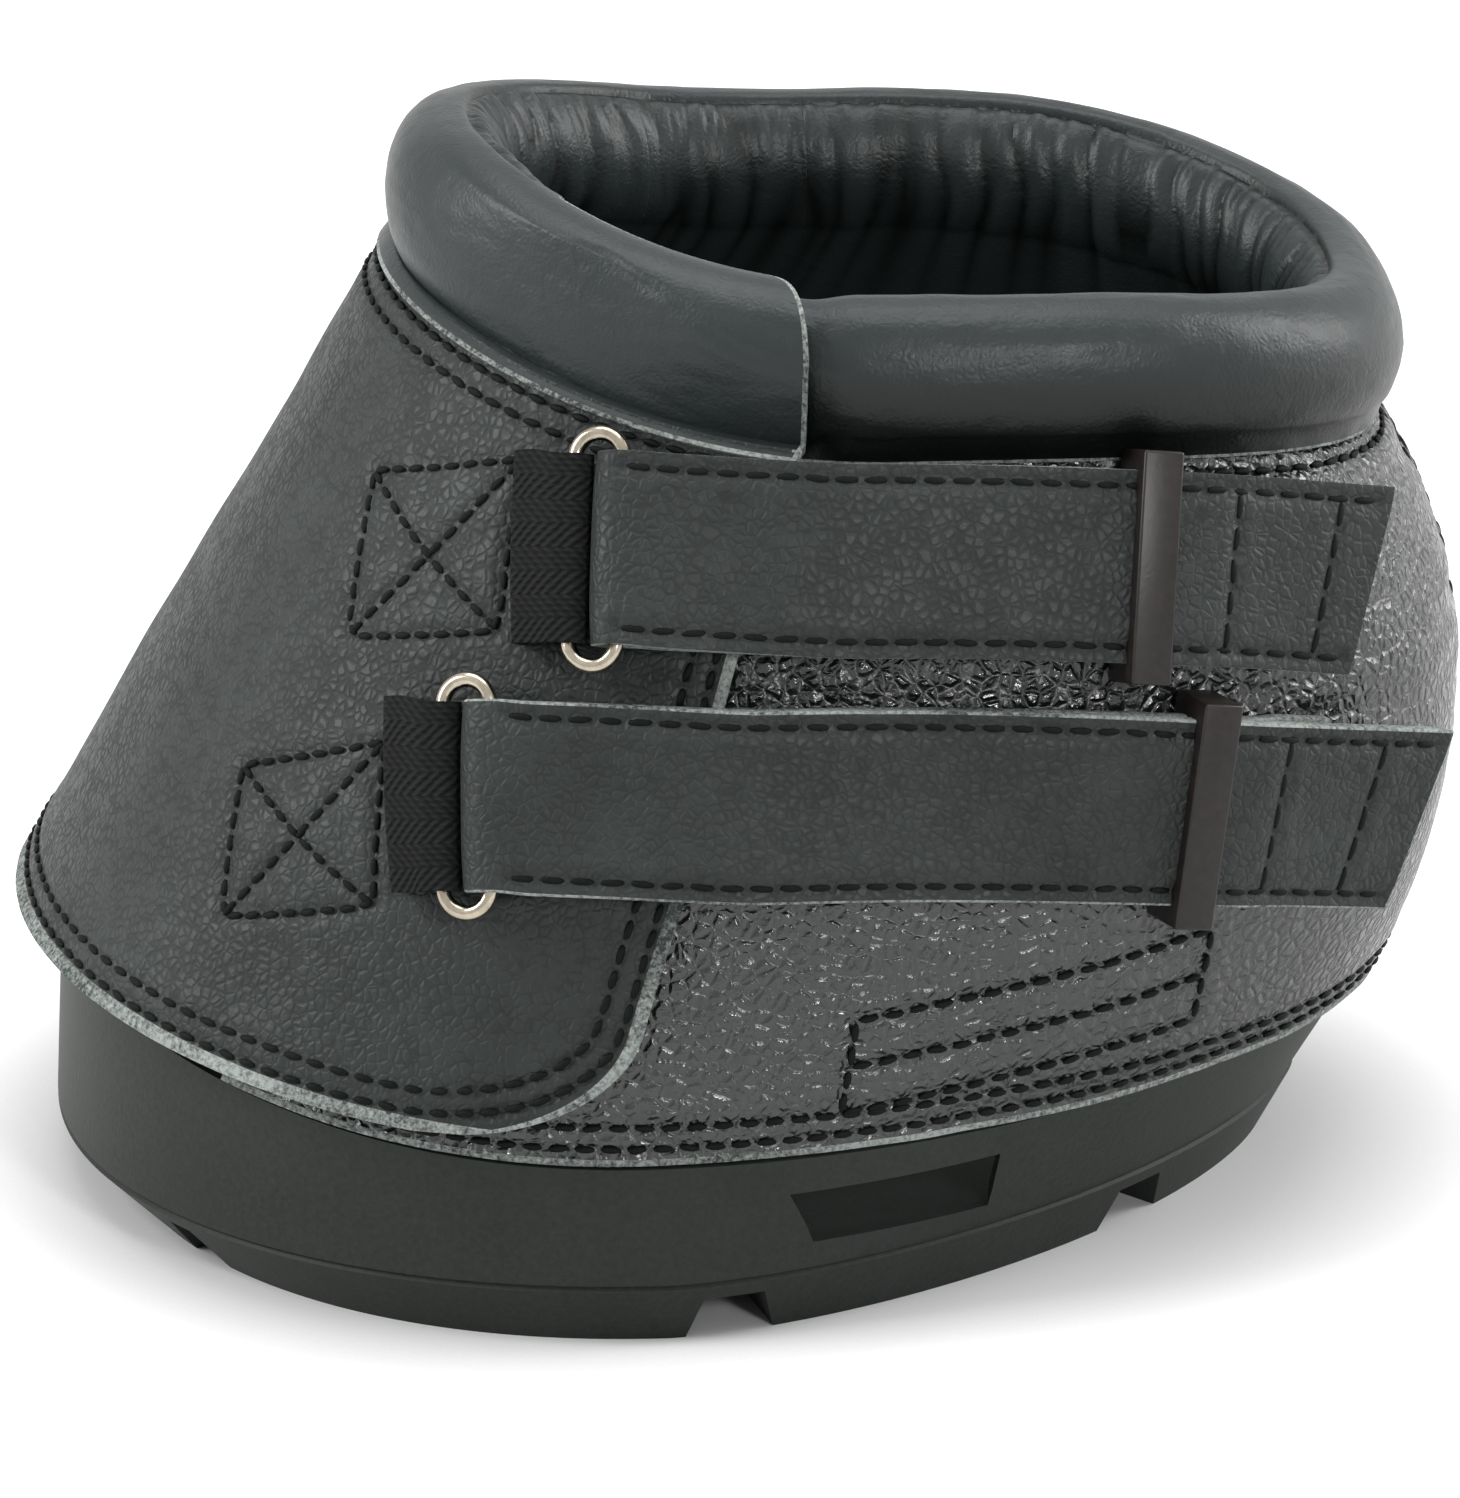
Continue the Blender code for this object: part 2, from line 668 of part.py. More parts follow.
def measure_strap(strap):
    """Run of the strap's middle line along the boot, measured from the ring."""
    turns = spread(STRAP_START_TURN, STRAP_FINISH_TURN, 160)
    places = [skin(turn, strap_share(strap, turn), FLAP_THICKNESS * 2) for turn in turns]
    runs = [0.0]
    for before, after in zip(places, places[1:]):
        runs.append(runs[-1] + (after - before).length)
    strap["turns"] = turns
    strap["runs"] = runs
    strap["ring_run"] = run_at(strap, strap["ring_turn"])
    strap["flap_reach"] = run_at(strap, flap_rear_turn(strap["crown_share"])) - strap["ring_run"]
    strap["ring_frame"] = frame_at(strap, 0.0)
    strap["straight_from"] = strap["keeper_reach"] + strap["tip_length"] * STRAIGHT_SHARE


def run_at(strap, turn):
    for index in range(len(strap["turns"]) - 1):
        if strap["turns"][index + 1] >= turn:
            share = ((turn - strap["turns"][index])
                     / (strap["turns"][index + 1] - strap["turns"][index]))
            return strap["runs"][index] + share * (strap["runs"][index + 1] - strap["runs"][index])
    return strap["runs"][-1]


def turn_at(strap, along):
    run = strap["ring_run"] + along
    for index in range(len(strap["turns"]) - 1):
        if strap["runs"][index + 1] >= run:
            share = ((run - strap["runs"][index])
                     / (strap["runs"][index + 1] - strap["runs"][index]))
            return strap["turns"][index] + share * (strap["turns"][index + 1]
                                                    - strap["turns"][index])
    return strap["turns"][-1]


def frame_at(strap, along):
    """Place, directions and surface slopes at a run along the strap."""
    turn = turn_at(strap, along)
    share = strap_share(strap, turn)
    change = (strap_share(strap, turn + SMALL_TURN) - strap_share(strap, turn - SMALL_TURN)) \
        / (2 * SMALL_TURN)
    by_turn, by_share = upper_slopes(turn, share)
    tangent = (by_turn + by_share * change).normalized()
    normal = by_turn.cross(by_share).normalized()
    across = normal.cross(tangent)
    return {"origin": upper_point(turn, share), "tangent": tangent, "normal": normal,
            "across": across, "turn": turn, "share": share,
            "by_turn": by_turn, "by_share": by_share}


def flat_point(frame, along, across, lift):
    return (frame["origin"] + frame["tangent"] * along + frame["across"] * across
            + frame["normal"] * lift)


def curved_point(strap, along, across, lift):
    """Point that follows the boot's side."""
    frame = frame_at(strap, along)
    turn_turn = frame["by_turn"].dot(frame["by_turn"])
    turn_share = frame["by_turn"].dot(frame["by_share"])
    share_share = frame["by_share"].dot(frame["by_share"])
    turn_part = frame["across"].dot(frame["by_turn"])
    share_part = frame["across"].dot(frame["by_share"])
    area = turn_turn * share_share - turn_share ** 2
    turn = frame["turn"] + across * (turn_part * share_share - share_part * turn_share) / area
    share = frame["share"] + across * (share_part * turn_turn - turn_part * turn_share) / area
    return skin(turn, share, lift)


def near_ring(strap, along, across, lift, place):
    """Eases a place into the flat of the ring."""
    away = smooth_step((abs(along) - RING_WIDTH / 2) / (RING_WIDTH / 2))
    return flat_point(strap["ring_frame"], along, across, lift).lerp(place, away)


def webbing_point(strap, along, across, lift):
    """Flat at the ring, and curved with the flap elsewhere."""
    return near_ring(strap, along, across, lift, curved_point(strap, along, across, lift))


def sewn_point(strap, along, across, lift):
    """Straight across and bent round the boot's side, flat at the ring."""
    place = flat_point(frame_at(strap, along), 0.0, across, lift)
    return near_ring(strap, along, across, lift, place)


def strap_point(strap, along, across, lift):
    """As the sewn layer, then straight off the heel."""
    start = strap["straight_from"]
    if along > start:
        return flat_point(frame_at(strap, start), along - start, across, lift)
    return sewn_point(strap, along, across, lift)


def ribbon(name, strap, place, path, width, thickness, material):
    """Band of leather or webbing along a path of (run, lift) pairs at mid thickness."""
    halves = spread(-width / 2, width / 2, 3)
    rows = [[place(strap, along, across, lift) for across in halves] for along, lift in path]
    return sheet(name, rows, thickness, 0.0, material)


def base_inner(strap, along):
    """Lift of the inner strap layer: over the flap, under the keeper, then on the quarter."""
    over_flap = FLAP_FACE + SEAT_GAP
    under_keeper = 2 * SEAT_GAP + KEEPER_BAR
    settled = over_flap + (under_keeper - over_flap) * smooth_step(
        (along - strap["flap_reach"] - SEAT_GAP) / STRAP_SETTLE)
    past_keeper = (along - keeper_end(strap)) / SEWN_DROP_LENGTH
    return settled + (SEAT_GAP - settled) * smooth_step(past_keeper)


def outer_inner(strap, along):
    """Lift of the outer strap layer's inner face."""
    last = keeper_end(strap)
    over_ring = BAR_LIFT + BAR_FOLD
    over_base = base_inner(strap, min(along, last)) + STRAP_THICKNESS + SEAT_GAP
    drop = (KEEPER_BAR - HOOK_THICKNESS) * smooth_step((along - last) / (2 * KEEPER_LENGTH))
    return over_ring + (over_base - over_ring) * smooth_step(
        (along - BAR_REACH) / (2 * RING_WIDTH)) - drop


def keeper_end(strap):
    """Run where the keeper's travel ends, towards the tip."""
    return strap["keeper_reach"] + KEEPER_LENGTH / 2 + KEEPER_TRAVEL


def hinge_reach(strap):
    return keeper_end(strap) + 2 * SEAT_GAP


def make_strap(strap, leather, hook):
    half = STRAP_THICKNESS / 2
    end = strap["keeper_reach"] + strap["tip_length"] * SEWN_END_SHARE
    path = [(along, base_inner(strap, along) + half) for along in spread(end, 2 * BAR_REACH, 22)]
    fold = BAR_FOLD + half
    path += [(BAR_REACH - fold * math.sin(angle), BAR_LIFT - fold * math.cos(angle))
             for angle in spread(0.0, HALF_TURN, 8)]
    hinge = hinge_reach(strap)
    path += [(along, outer_inner(strap, along) + half) for along in spread(2 * BAR_REACH, hinge, 18)]
    ribbon(strap["name"] + "_strap", strap, sewn_point, path, STRAP_WIDTH, STRAP_THICKNESS, leather)

    tip_start = hinge + SEAT_GAP
    tip_end = strap["keeper_reach"] + strap["tip_length"]
    path = [(along, outer_inner(strap, along) + half) for along in spread(tip_start, tip_end, 7)]
    ribbon(strap["name"] + "_strap_tip", strap, strap_point, path, STRAP_WIDTH, STRAP_THICKNESS,
           leather)

    pad_start = hinge + KEEPER_LENGTH
    path = [(along, outer_inner(strap, along) - SEAT_GAP - HOOK_THICKNESS / 2)
            for along in spread(pad_start, tip_end - KEEPER_BAR, 6)]
    ribbon(strap["name"] + "_hook_pad", strap, strap_point, path, STRAP_WIDTH - 2 * KEEPER_BAR,
           HOOK_THICKNESS, hook)


def make_webbing(strap, webbing):
    """Webbing that lies under the flap, comes up its slit and goes round the ring."""
    half = WEBBING_THICKNESS / 2
    fold = BAR_FOLD + half
    under = CLOSED_LIFT - SEAT_GAP - half
    pitch = WEBBING_THICKNESS + SEAT_GAP
    front_leg = -SLIT_REACH - pitch / 2
    rear_leg = -SLIT_REACH + pitch / 2
    rise = FLAP_FACE + SEAT_GAP
    path = [(along, under)
            for along in spread(-SLIT_REACH - WEBBING_WIDTH, -SLIT_REACH - 2 * pitch, 6)]
    path += [(rear_leg - pitch, under), (rear_leg - half, under + half), (rear_leg, under + pitch),
             (rear_leg, rise), (rear_leg + pitch / 2, rise + pitch),
             (-BAR_REACH - fold / 2, BAR_LIFT - fold)]
    path += [(-BAR_REACH + fold * math.sin(angle), BAR_LIFT - fold * math.cos(angle))
             for angle in spread(0.0, HALF_TURN, 8)]
    path += [(-BAR_REACH - fold, BAR_LIFT + fold), (front_leg, rise + 2 * pitch + half),
             (front_leg, rise + pitch), (front_leg, under + 2 * pitch + half)]
    ribbon(strap["name"] + "_webbing_loop", strap, webbing_point, path, WEBBING_WIDTH,
           WEBBING_THICKNESS, webbing)


def slit_cutter(strap):
    """Slit in the flap for the two layers of webbing."""
    frame = frame_at(strap, -SLIT_REACH)
    centre = webbing_point(strap, -SLIT_REACH, 0.0, FLAP_FACE - FLAP_THICKNESS / 2)
    mesh = bpy.data.meshes.new("slit")
    shape = bmesh.new()
    bmesh.ops.create_cube(shape, size=1.0)
    width = 2 * WEBBING_THICKNESS + 6 * SEAT_GAP
    length = WEBBING_WIDTH + 4 * SEAT_GAP
    turn = Matrix((frame["tangent"] * width, frame["across"] * length,
                   frame["normal"] * 3 * FLAP_THICKNESS)).transposed()
    bmesh.ops.transform(shape, matrix=Matrix.Translation(centre) @ turn.to_4x4(),
                        verts=shape.verts)
    shape.to_mesh(mesh)
    shape.free()
    return add_cutter("slit_cutter", mesh)


def make_ring(strap, metal):
    """Oval wire ring with straight bars and round ends."""
    frame = strap["ring_frame"]
    straight = RING_LENGTH / 2 - RING_WIRE / 2 - BAR_REACH
    centre_line = [(BAR_REACH * math.cos(angle), straight + BAR_REACH * math.sin(angle))
                   for angle in spread(0.0, HALF_TURN, 9)]
    centre_line += [(-along, -across) for along, across in centre_line]
    curve = bpy.data.curves.new(strap["name"] + "_ring", "CURVE")
    curve.dimensions = "3D"
    curve.bevel_depth = RING_WIRE / 2
    curve.bevel_resolution = 2
    spline = curve.splines.new("POLY")
    spline.points.add(len(centre_line) - 1)
    for point, (along, across) in zip(spline.points, centre_line):
        point.co = (along, across, 0.0, 1.0)
    spline.use_cyclic_u = True
    item = bpy.data.objects.new(strap["name"] + "_ring", curve)
    item.matrix_world = local_matrix(frame["tangent"], frame["across"],
                                     flat_point(frame, 0.0, 0.0, BAR_LIFT))
    curve.materials.append(metal)
    parts.objects.link(item)
    return item


def local_matrix(first, second, origin):
    third = first.cross(second).normalized()
    turn = Matrix((first, second, third)).transposed()
    return Matrix.Translation(origin) @ turn.to_4x4()


def make_keeper(strap, plastic):
    """Moulded rectangular loop round both layers of the strap."""
    along = strap["keeper_reach"]
    low = base_inner(strap, along)
    high = outer_inner(strap, along) + STRAP_THICKNESS
    frame = frame_at(strap, along)
    inner = (STRAP_WIDTH / 2 + KEEPER_CLEARANCE, (high - low) / 2 + KEEPER_CLEARANCE)
    outer = (inner[0] + KEEPER_END_BAR, inner[1] + KEEPER_BAR)
    curve = bpy.data.curves.new(strap["name"] + "_keeper", "CURVE")
    curve.dimensions = "2D"
    curve.fill_mode = "BOTH"
    curve.extrude = KEEPER_LENGTH / 2
    for half_across, half_lift in (outer, inner):
        spline = curve.splines.new("POLY")
        spline.points.add(3)
        corners = ((-1, -1), (1, -1), (1, 1), (-1, 1))
        for point, (x_sign, y_sign) in zip(spline.points, corners):
            point.co = (x_sign * half_across, y_sign * half_lift, 0.0, 1.0)
        spline.use_cyclic_u = True
    shell = bpy.data.objects.new(strap["name"] + "_keeper_outline", curve)
    bpy.context.scene.collection.objects.link(shell)
    bpy.context.view_layer.update()
    evaluated = shell.evaluated_get(bpy.context.evaluated_depsgraph_get())
    mesh = bpy.data.meshes.new_from_object(evaluated)
    mesh.name = strap["name"] + "_keeper"
    bpy.data.objects.remove(shell, do_unlink=True)
    shape = bmesh.new()
    shape.from_mesh(mesh)
    bmesh.ops.remove_doubles(shape, verts=shape.verts, dist=SEAT_GAP / 10)
    shape.to_mesh(mesh)
    shape.free()
    item = add_part(strap["name"] + "_keeper", mesh, plastic)
    item.matrix_world = local_matrix(frame["across"], frame["normal"],
                                     strap_point(strap, along, 0.0, (low + high) / 2))
    return item


def strap_facts():
    upper = {"name": "upper", "ring_turn": UPPER_RING_TURN, "keeper_reach": UPPER_KEEPER_REACH,
             "tip_length": UPPER_TIP_LENGTH, **UPPER_STRAP_SHARES}
    lower = {"name": "lower", "ring_turn": LOWER_RING_TURN, "keeper_reach": LOWER_KEEPER_REACH,
             "tip_length": LOWER_TIP_LENGTH, **LOWER_STRAP_SHARES}
    for strap in (upper, lower):
        measure_strap(strap)
    return upper, lower


def add_pivot(name, place, axis, carrier, carried):
    """Empty on a joint's axis that carries the pieces that move about it."""
    pivot = bpy.data.objects.new(name, None)
    pivot.empty_display_size = RING_LENGTH
    turned = axis.to_track_quat("Z", "Y").to_matrix().to_4x4()
    pivot.matrix_world = Matrix.Translation(place) @ turned
    parts.objects.link(pivot)
    bpy.context.view_layer.update()
    hang(pivot, carrier)
    for piece in carried:
        hang(bpy.data.objects[piece], pivot)
    return pivot


def hang(item, carrier):
    """Parent an item without moving it."""
    if carrier is not None:
        place = item.matrix_world.copy()
        item.parent = carrier
        item.matrix_parent_inverse = carrier.matrix_world.inverted()
        item.matrix_world = place
        bpy.context.view_layer.update()


def add_pivots():
    low = Vector((HINGE_LOW_STATION, HINGE_LOW_SIDE, HINGE_LOW_RISE))
    high = Vector((HINGE_HIGH_STATION, HINGE_HIGH_SIDE, HINGE_HIGH_RISE))
    flap = add_pivot("flap_pivot", (low + high) / 2, low - high, None, (
        "front_flap", "flap_lining", "flap_hook_patch", "front_collar_cover",
        "front_collar_foam", "upper_webbing_loop", "lower_webbing_loop"))
    for strap in strap_facts():
        name = strap["name"]
        frame = strap["ring_frame"]
        ring = add_pivot(name + "_ring_pivot", flat_point(frame, -BAR_REACH, 0.0, BAR_LIFT),
                         -frame["across"], flap, (name + "_ring",))
        band = add_pivot(name + "_strap_pivot", flat_point(frame, BAR_REACH, 0.0, BAR_LIFT),
                         -frame["across"], ring, (name + "_strap",))
        reach = hinge_reach(strap)
        lift = outer_inner(strap, reach) + STRAP_THICKNESS
        add_pivot(name + "_tip_pivot", strap_point(strap, reach, 0.0, lift),
                  -frame_at(strap, reach)["across"], band,
                  (name + "_strap_tip", name + "_hook_pad"))
        frame = frame_at(strap, strap["keeper_reach"])
        add_pivot(name + "_keeper_pivot", frame["origin"], frame["tangent"], band,
                  (name + "_keeper",))


def main():
    global parts, cutters
    clear_scene()
    parts = new_collection("hoof_boot")
    cutters = new_collection("cutters")
    leather = new_material("pebbled_leather", (0.045, 0.047, 0.048), 0.55)
    soft_leather = new_material("soft_leather", (0.08, 0.09, 0.09), 0.5)
    rubber = new_material("rubber", (0.04, 0.045, 0.04), 0.7)
    lining = new_material("lining", (0.02, 0.02, 0.02), 0.9)
    foam = new_material("foam", (0.15, 0.15, 0.15), 0.95)
    tape = new_material("tape", (0.03, 0.03, 0.03), 0.9)
    hook = new_material("hook_and_loop", (0.02, 0.02, 0.02), 0.95)
    webbing = new_material("webbing", (0.015, 0.015, 0.015), 0.9)
    nickel = new_material("nickel", (0.75, 0.72, 0.68), 0.2, 1.0)
    plastic = new_material("keeper_plastic", (0.05, 0.045, 0.04), 0.45)

    make_outsole(rubber)
    make_quarters(leather)
    make_inner_patches(tape, lining)
    flap = make_flap(leather, lining, hook)
    make_rear_collar(soft_leather, foam)
    make_front_collar(soft_leather, foam)
    for strap in strap_facts():
        make_ring(strap, nickel)
        make_webbing(strap, webbing)
        cut(flap, slit_cutter(strap))
        make_strap(strap, leather, hook)
        make_keeper(strap, plastic)
    add_pivots()


main()
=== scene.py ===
import json
import math

import bmesh
import bpy
import numpy as np
from mathutils import Matrix, Vector, noise
from mathutils.bvhtree import BVHTree
from mathutils.kdtree import KDTree

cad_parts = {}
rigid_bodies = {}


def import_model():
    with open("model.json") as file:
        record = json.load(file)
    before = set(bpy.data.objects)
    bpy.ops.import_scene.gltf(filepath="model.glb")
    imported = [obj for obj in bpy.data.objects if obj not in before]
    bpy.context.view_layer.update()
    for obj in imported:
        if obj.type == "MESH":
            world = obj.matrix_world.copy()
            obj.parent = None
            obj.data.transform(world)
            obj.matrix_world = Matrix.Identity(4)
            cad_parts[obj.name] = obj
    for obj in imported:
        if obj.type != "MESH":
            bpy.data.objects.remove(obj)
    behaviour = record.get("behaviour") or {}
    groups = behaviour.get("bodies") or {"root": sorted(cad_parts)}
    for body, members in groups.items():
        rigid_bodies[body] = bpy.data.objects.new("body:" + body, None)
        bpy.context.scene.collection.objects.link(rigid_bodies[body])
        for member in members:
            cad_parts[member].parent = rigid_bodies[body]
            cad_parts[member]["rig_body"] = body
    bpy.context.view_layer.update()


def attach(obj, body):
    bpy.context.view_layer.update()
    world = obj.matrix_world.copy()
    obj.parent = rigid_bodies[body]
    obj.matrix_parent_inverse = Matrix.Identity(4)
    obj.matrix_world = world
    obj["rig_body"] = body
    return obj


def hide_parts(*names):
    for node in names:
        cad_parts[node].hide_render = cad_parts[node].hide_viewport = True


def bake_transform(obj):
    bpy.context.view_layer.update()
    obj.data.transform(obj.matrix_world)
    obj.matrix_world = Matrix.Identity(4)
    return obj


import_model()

mm = 0.001                      # the settings below are in millimetres
halfTurn = math.pi

# The boot's side. A place on it is a turn round the plan (0 toe, pi heel, closing side between)
# and a share of the height. The triples are at the lower edge, half way up and at the top.
side = {"toe": (86.5, 62.5, 38.5), "heel": (79.0, 87.5, 75.0), "half": (65.0, 58.5, 45.5),
        "widest": (-16.0, -4.0, 16.0), "toeRise": (33.0, 74.5, 116.0),
        "sideRise": (22.5, 64.0, 105.0), "heelRise": (22.5, 63.0, 97.0),
        "frontFullness": 2.1, "rearFullness": (1.75, 2.3, 2.3)}
hinge = {"lowStation": -12.0, "lowRise": 28.0, "highStation": 4.0, "highRise": 118.0}
layers = {"seat": 0.3, "quarter": 2.2, "flap": 2.0, "lining": 1.4, "tape": 0.8, "patch": 0.8,
          "collar": 0.8, "strap": 1.8, "webbing": 1.0, "hook": 0.8}
closedLift = 3 * layers["seat"] + 2 * layers["patch"]
flapFace = closedLift + layers["flap"]


# The surface that the leather follows
def smooth(share):
    share = np.clip(share, 0.0, 1.0)
    return share * share * (3.0 - 2.0 * share)


def levels(key, share):
    low, mid, top = side[key]
    return low * (1 - share) * (1 - 2 * share) + 4 * mid * share * (1 - share) + top * share * (2 * share - 1)


def egg(turn, toe, heel, half, widest, rearFullness):
    ahead, aside = np.cos(turn), np.sin(turn)
    fullness = np.where(ahead > 0, side["frontFullness"], rearFullness)
    reach = np.where(ahead > 0, toe + widest, heel - widest)
    return (widest - np.sign(ahead) * reach * np.abs(ahead) ** (2 / fullness),
            -np.sign(aside) * half * np.abs(aside) ** (2 / fullness))


def sidePoint(turn, share):
    turn, share = np.broadcast_arrays(np.asarray(turn, float), np.asarray(share, float))
    x, y = egg(turn, levels("toe", share), levels("heel", share), levels("half", share),
               levels("widest", share), levels("rearFullness", share))
    sideRise = levels("sideRise", share)
    endRise = np.where(np.cos(turn) > 0, levels("toeRise", share), levels("heelRise", share))
    return np.stack([x, y, sideRise + (endRise - sideRise) * np.cos(turn) ** 2], -1) * mm


def unit(vectors):
    return vectors / np.linalg.norm(vectors, axis=-1, keepdims=True)


def slopes(turn, share, step=0.001):
    return ((sidePoint(turn + step, share) - sidePoint(turn - step, share)) / (2 * step),
            (sidePoint(turn, share + step) - sidePoint(turn, share - step)) / (2 * step))


def skin(turn, share, lift):            # lift off the quarters' outer face, in millimetres
    turn, share, lift = np.broadcast_arrays(*(np.asarray(x, float) for x in (turn, share, lift)))
    byTurn, byShare = slopes(turn, share)
    return sidePoint(turn, share) + unit(np.cross(byTurn, byShare)) * lift[..., None] * mm


def hingeTurn(point, gap, like):        # turn where each row meets the far side's hinge line
    ahead, behind = np.full(like.shape, -0.9), np.full(like.shape, -2.0)
    slope = (hinge["highStation"] - hinge["lowStation"]) / (hinge["highRise"] - hinge["lowRise"])
    for _ in range(26):
        middle = (ahead + behind) / 2
        place = point(middle) / mm
        station = hinge["lowStation"] + (place[..., 2] - hinge["lowRise"]) * slope
        inside = place[..., 0] - station < gap
        ahead, behind = np.where(inside, middle, ahead), np.where(inside, behind, middle)
    return (ahead + behind) / 2


# Sheets, rows of stitches and finished pieces
def asMesh(shape, name):
    mesh = bpy.data.meshes.new(name)
    shape.to_mesh(mesh)
    shape.free()
    return mesh


def newObject(name, data):
    item = bpy.data.objects.new(name, data)
    bpy.context.scene.collection.objects.link(item)
    return item


def drape(name, columns, rows, place, size):     # a grid laid by the place function, mapped in mm
    shape = bmesh.new()
    bmesh.ops.create_grid(shape, x_segments=columns, y_segments=rows, size=0.5)
    mesh = asMesh(shape, name)
    flat = readPoints(mesh)
    flat = (flat - flat.min(0)) / np.maximum(flat.max(0) - flat.min(0), 1e-9)
    setPoints(mesh, place(flat[:, 0], flat[:, 1]))
    corners = np.empty(len(mesh.loops), np.int32)
    mesh.loops.foreach_get("vertex_index", corners)
    layer = mesh.uv_layers.new(name="cloth")
    layer.data.foreach_set("uv", (flat[corners, :2] * np.array(size) * mm).astype(np.float32).ravel())
    return mesh


def readPoints(mesh):
    flat = np.empty(len(mesh.vertices) * 3, np.float32)
    mesh.vertices.foreach_get("co", flat)
    return flat.reshape(-1, 3).astype(float)


def setPoints(mesh, points):
    mesh.vertices.foreach_set("co", points.astype(np.float32).ravel())
    mesh.update()


def normalsOf(mesh):
    flat = np.empty(len(mesh.vertices) * 3, np.float32)
    mesh.vertex_normals.foreach_get("vector", flat)
    return flat.reshape(-1, 3).astype(float)


def push(mesh, offsets):                # move points along their normals, in millimetres
    setPoints(mesh, readPoints(mesh) + normalsOf(mesh) * np.asarray(offsets)[:, None] * mm)


def evenly(path, pitch):                # points of a path at an even spacing near the pitch
    path = np.asarray(path, float)
    runs = np.concatenate([[0.0], np.cumsum(np.linalg.norm(np.diff(path, axis=0), axis=1))])
    count = max(1, round(runs[-1] / (pitch * mm)))
    marks = np.linspace(0.0, runs[-1], count + 1)
    return np.stack([np.interp(marks, runs, path[:, axis]) for axis in range(3)], -1)


def nearTo(points, targets):            # distance from each point to the nearest target, in mm
    tree = KDTree(len(targets))
    for index, target in enumerate(targets):
        tree.insert(target, index)
    tree.balance()
    return np.array([tree.find(point)[2] for point in points]) / mm


def dentRows(mesh, rows, pitch, depth=0.26, width=0.8, hole=0.50):
    if not rows:
        return
    points = readPoints(mesh)
    rowGap = nearTo(points, np.concatenate([evenly(row, 0.6) for row in rows]))
    holeGap = nearTo(points, np.concatenate([evenly(row, pitch) for row in rows]))
    push(mesh, -depth * np.exp(-(rowGap / width) ** 2) - hole * np.exp(-(holeGap / 0.62) ** 2)
         + 0.10 * np.exp(-((rowGap - 2.0) / 0.9) ** 2))


def rawEdges(mesh, size, sides):        # the outermost faces show the hide's cut core
    layer = np.empty(len(mesh.loops) * 2, np.float32)
    mesh.uv_layers["cloth"].data.foreach_get("uv", layer)
    starts = np.empty(len(mesh.polygons), np.int32)
    mesh.polygons.foreach_get("loop_start", starts)
    corners = layer.reshape(-1, 2)[starts[:, None] + np.arange(4)].mean(1) / (np.array(size) * mm)
    left, right, low, top = sides
    along, up = corners.T
    cut = (along < left) | (along > 1 - right) | (up < low) | (up > 1 - top)
    mesh.polygons.foreach_set("material_index", cut.astype(np.int32))


thread = {"width": 0.95, "height": 0.70, "share": 0.80, "sink": 0.12, "strapLift": -0.17}


def sew(name, mesh, rows, pitch, body, seed=1, lift=0.0):
    points = readPoints(mesh)
    polygons = [tuple(face.vertices) for face in mesh.polygons]
    tree = BVHTree.FromPolygons(points.tolist(), polygons)
    rng = np.random.default_rng(seed)
    shape = bmesh.new()
    for row in rows:
        marks = evenly(row, pitch)
        for start, end in zip(marks, marks[1:]):
            start, end = Vector(start), Vector(end)
            place, normal, _, _ = tree.find_nearest((start + end) / 2)
            along = (end - start).normalized()
            tilt = rng.normal(0.0, 0.05)
            across = normal.cross(along).normalized()
            along = (along + across * tilt).normalized()
            up = along.cross(across).normalized()
            reach = (end - start).length / 2 * thread["share"] * rng.uniform(0.94, 1.04)
            turn = Matrix((along * reach, across * thread["width"] / 2 * mm,
                           up * thread["height"] / 2 * mm)).transposed().to_4x4()
            spot = place + normal * (thread["sink"] + lift) * mm
            laid = Matrix.Translation(spot) @ turn @ Matrix.Rotation(halfTurn / 2, 4, "Y")
            bmesh.ops.create_uvsphere(shape, u_segments=8, v_segments=5, radius=1.0, matrix=laid)
    bmesh.ops.recalc_face_normals(shape, faces=shape.faces)
    return finish(asMesh(shape, name), [bondedThread], body)


def finish(mesh, finishes, body, nodes=(), blendTo=None, smoothAngle=50):
    item = newObject(mesh.name, mesh)
    mesh.materials.clear()
    for material in finishes:
        mesh.materials.append(material)
    mesh.shade_smooth()
    if smoothAngle:
        mesh.set_sharp_from_angle(angle=math.radians(smoothAngle))
    if blendTo:
        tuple(blendTo[1])
        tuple(blendTo[2])
        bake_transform(item)
    else:
        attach(item, body)
    if nodes:
        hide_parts(*nodes)
    return item


def thicken(item, thickness, offset=-1.0, softness=0.5):  # a cut sheet: walls, then softened edges
    rim = len(item.data.materials) - 1
    wall = item.modifiers.new("thickness", "SOLIDIFY")
    wall.thickness = thickness * mm
    wall.offset = offset
    wall.material_offset_rim = rim
    soft = item.modifiers.new("soft edges", "BEVEL")
    soft.width = softness * mm
    soft.segments = 3
    soft.material = rim
    soft.limit_method = "ANGLE"
    soft.angle_limit = math.radians(60)


def fuzz(points, size, seed=0.0, stretch=(1, 1, 1)):      # noise over points, from -1 to 1
    scaled = points / mm / size * np.array(stretch) + seed
    return np.array([noise.noise(point) for point in scaled])


# Materials
def hexColour(code):                    # sRGB hex to linear
    parts = [int(code[i:i + 2], 16) / 255 for i in (1, 3, 5)]
    return tuple(p / 12.92 if p <= 0.04045 else ((p + 0.055) / 1.055) ** 2.4 for p in parts) + (1.0,)


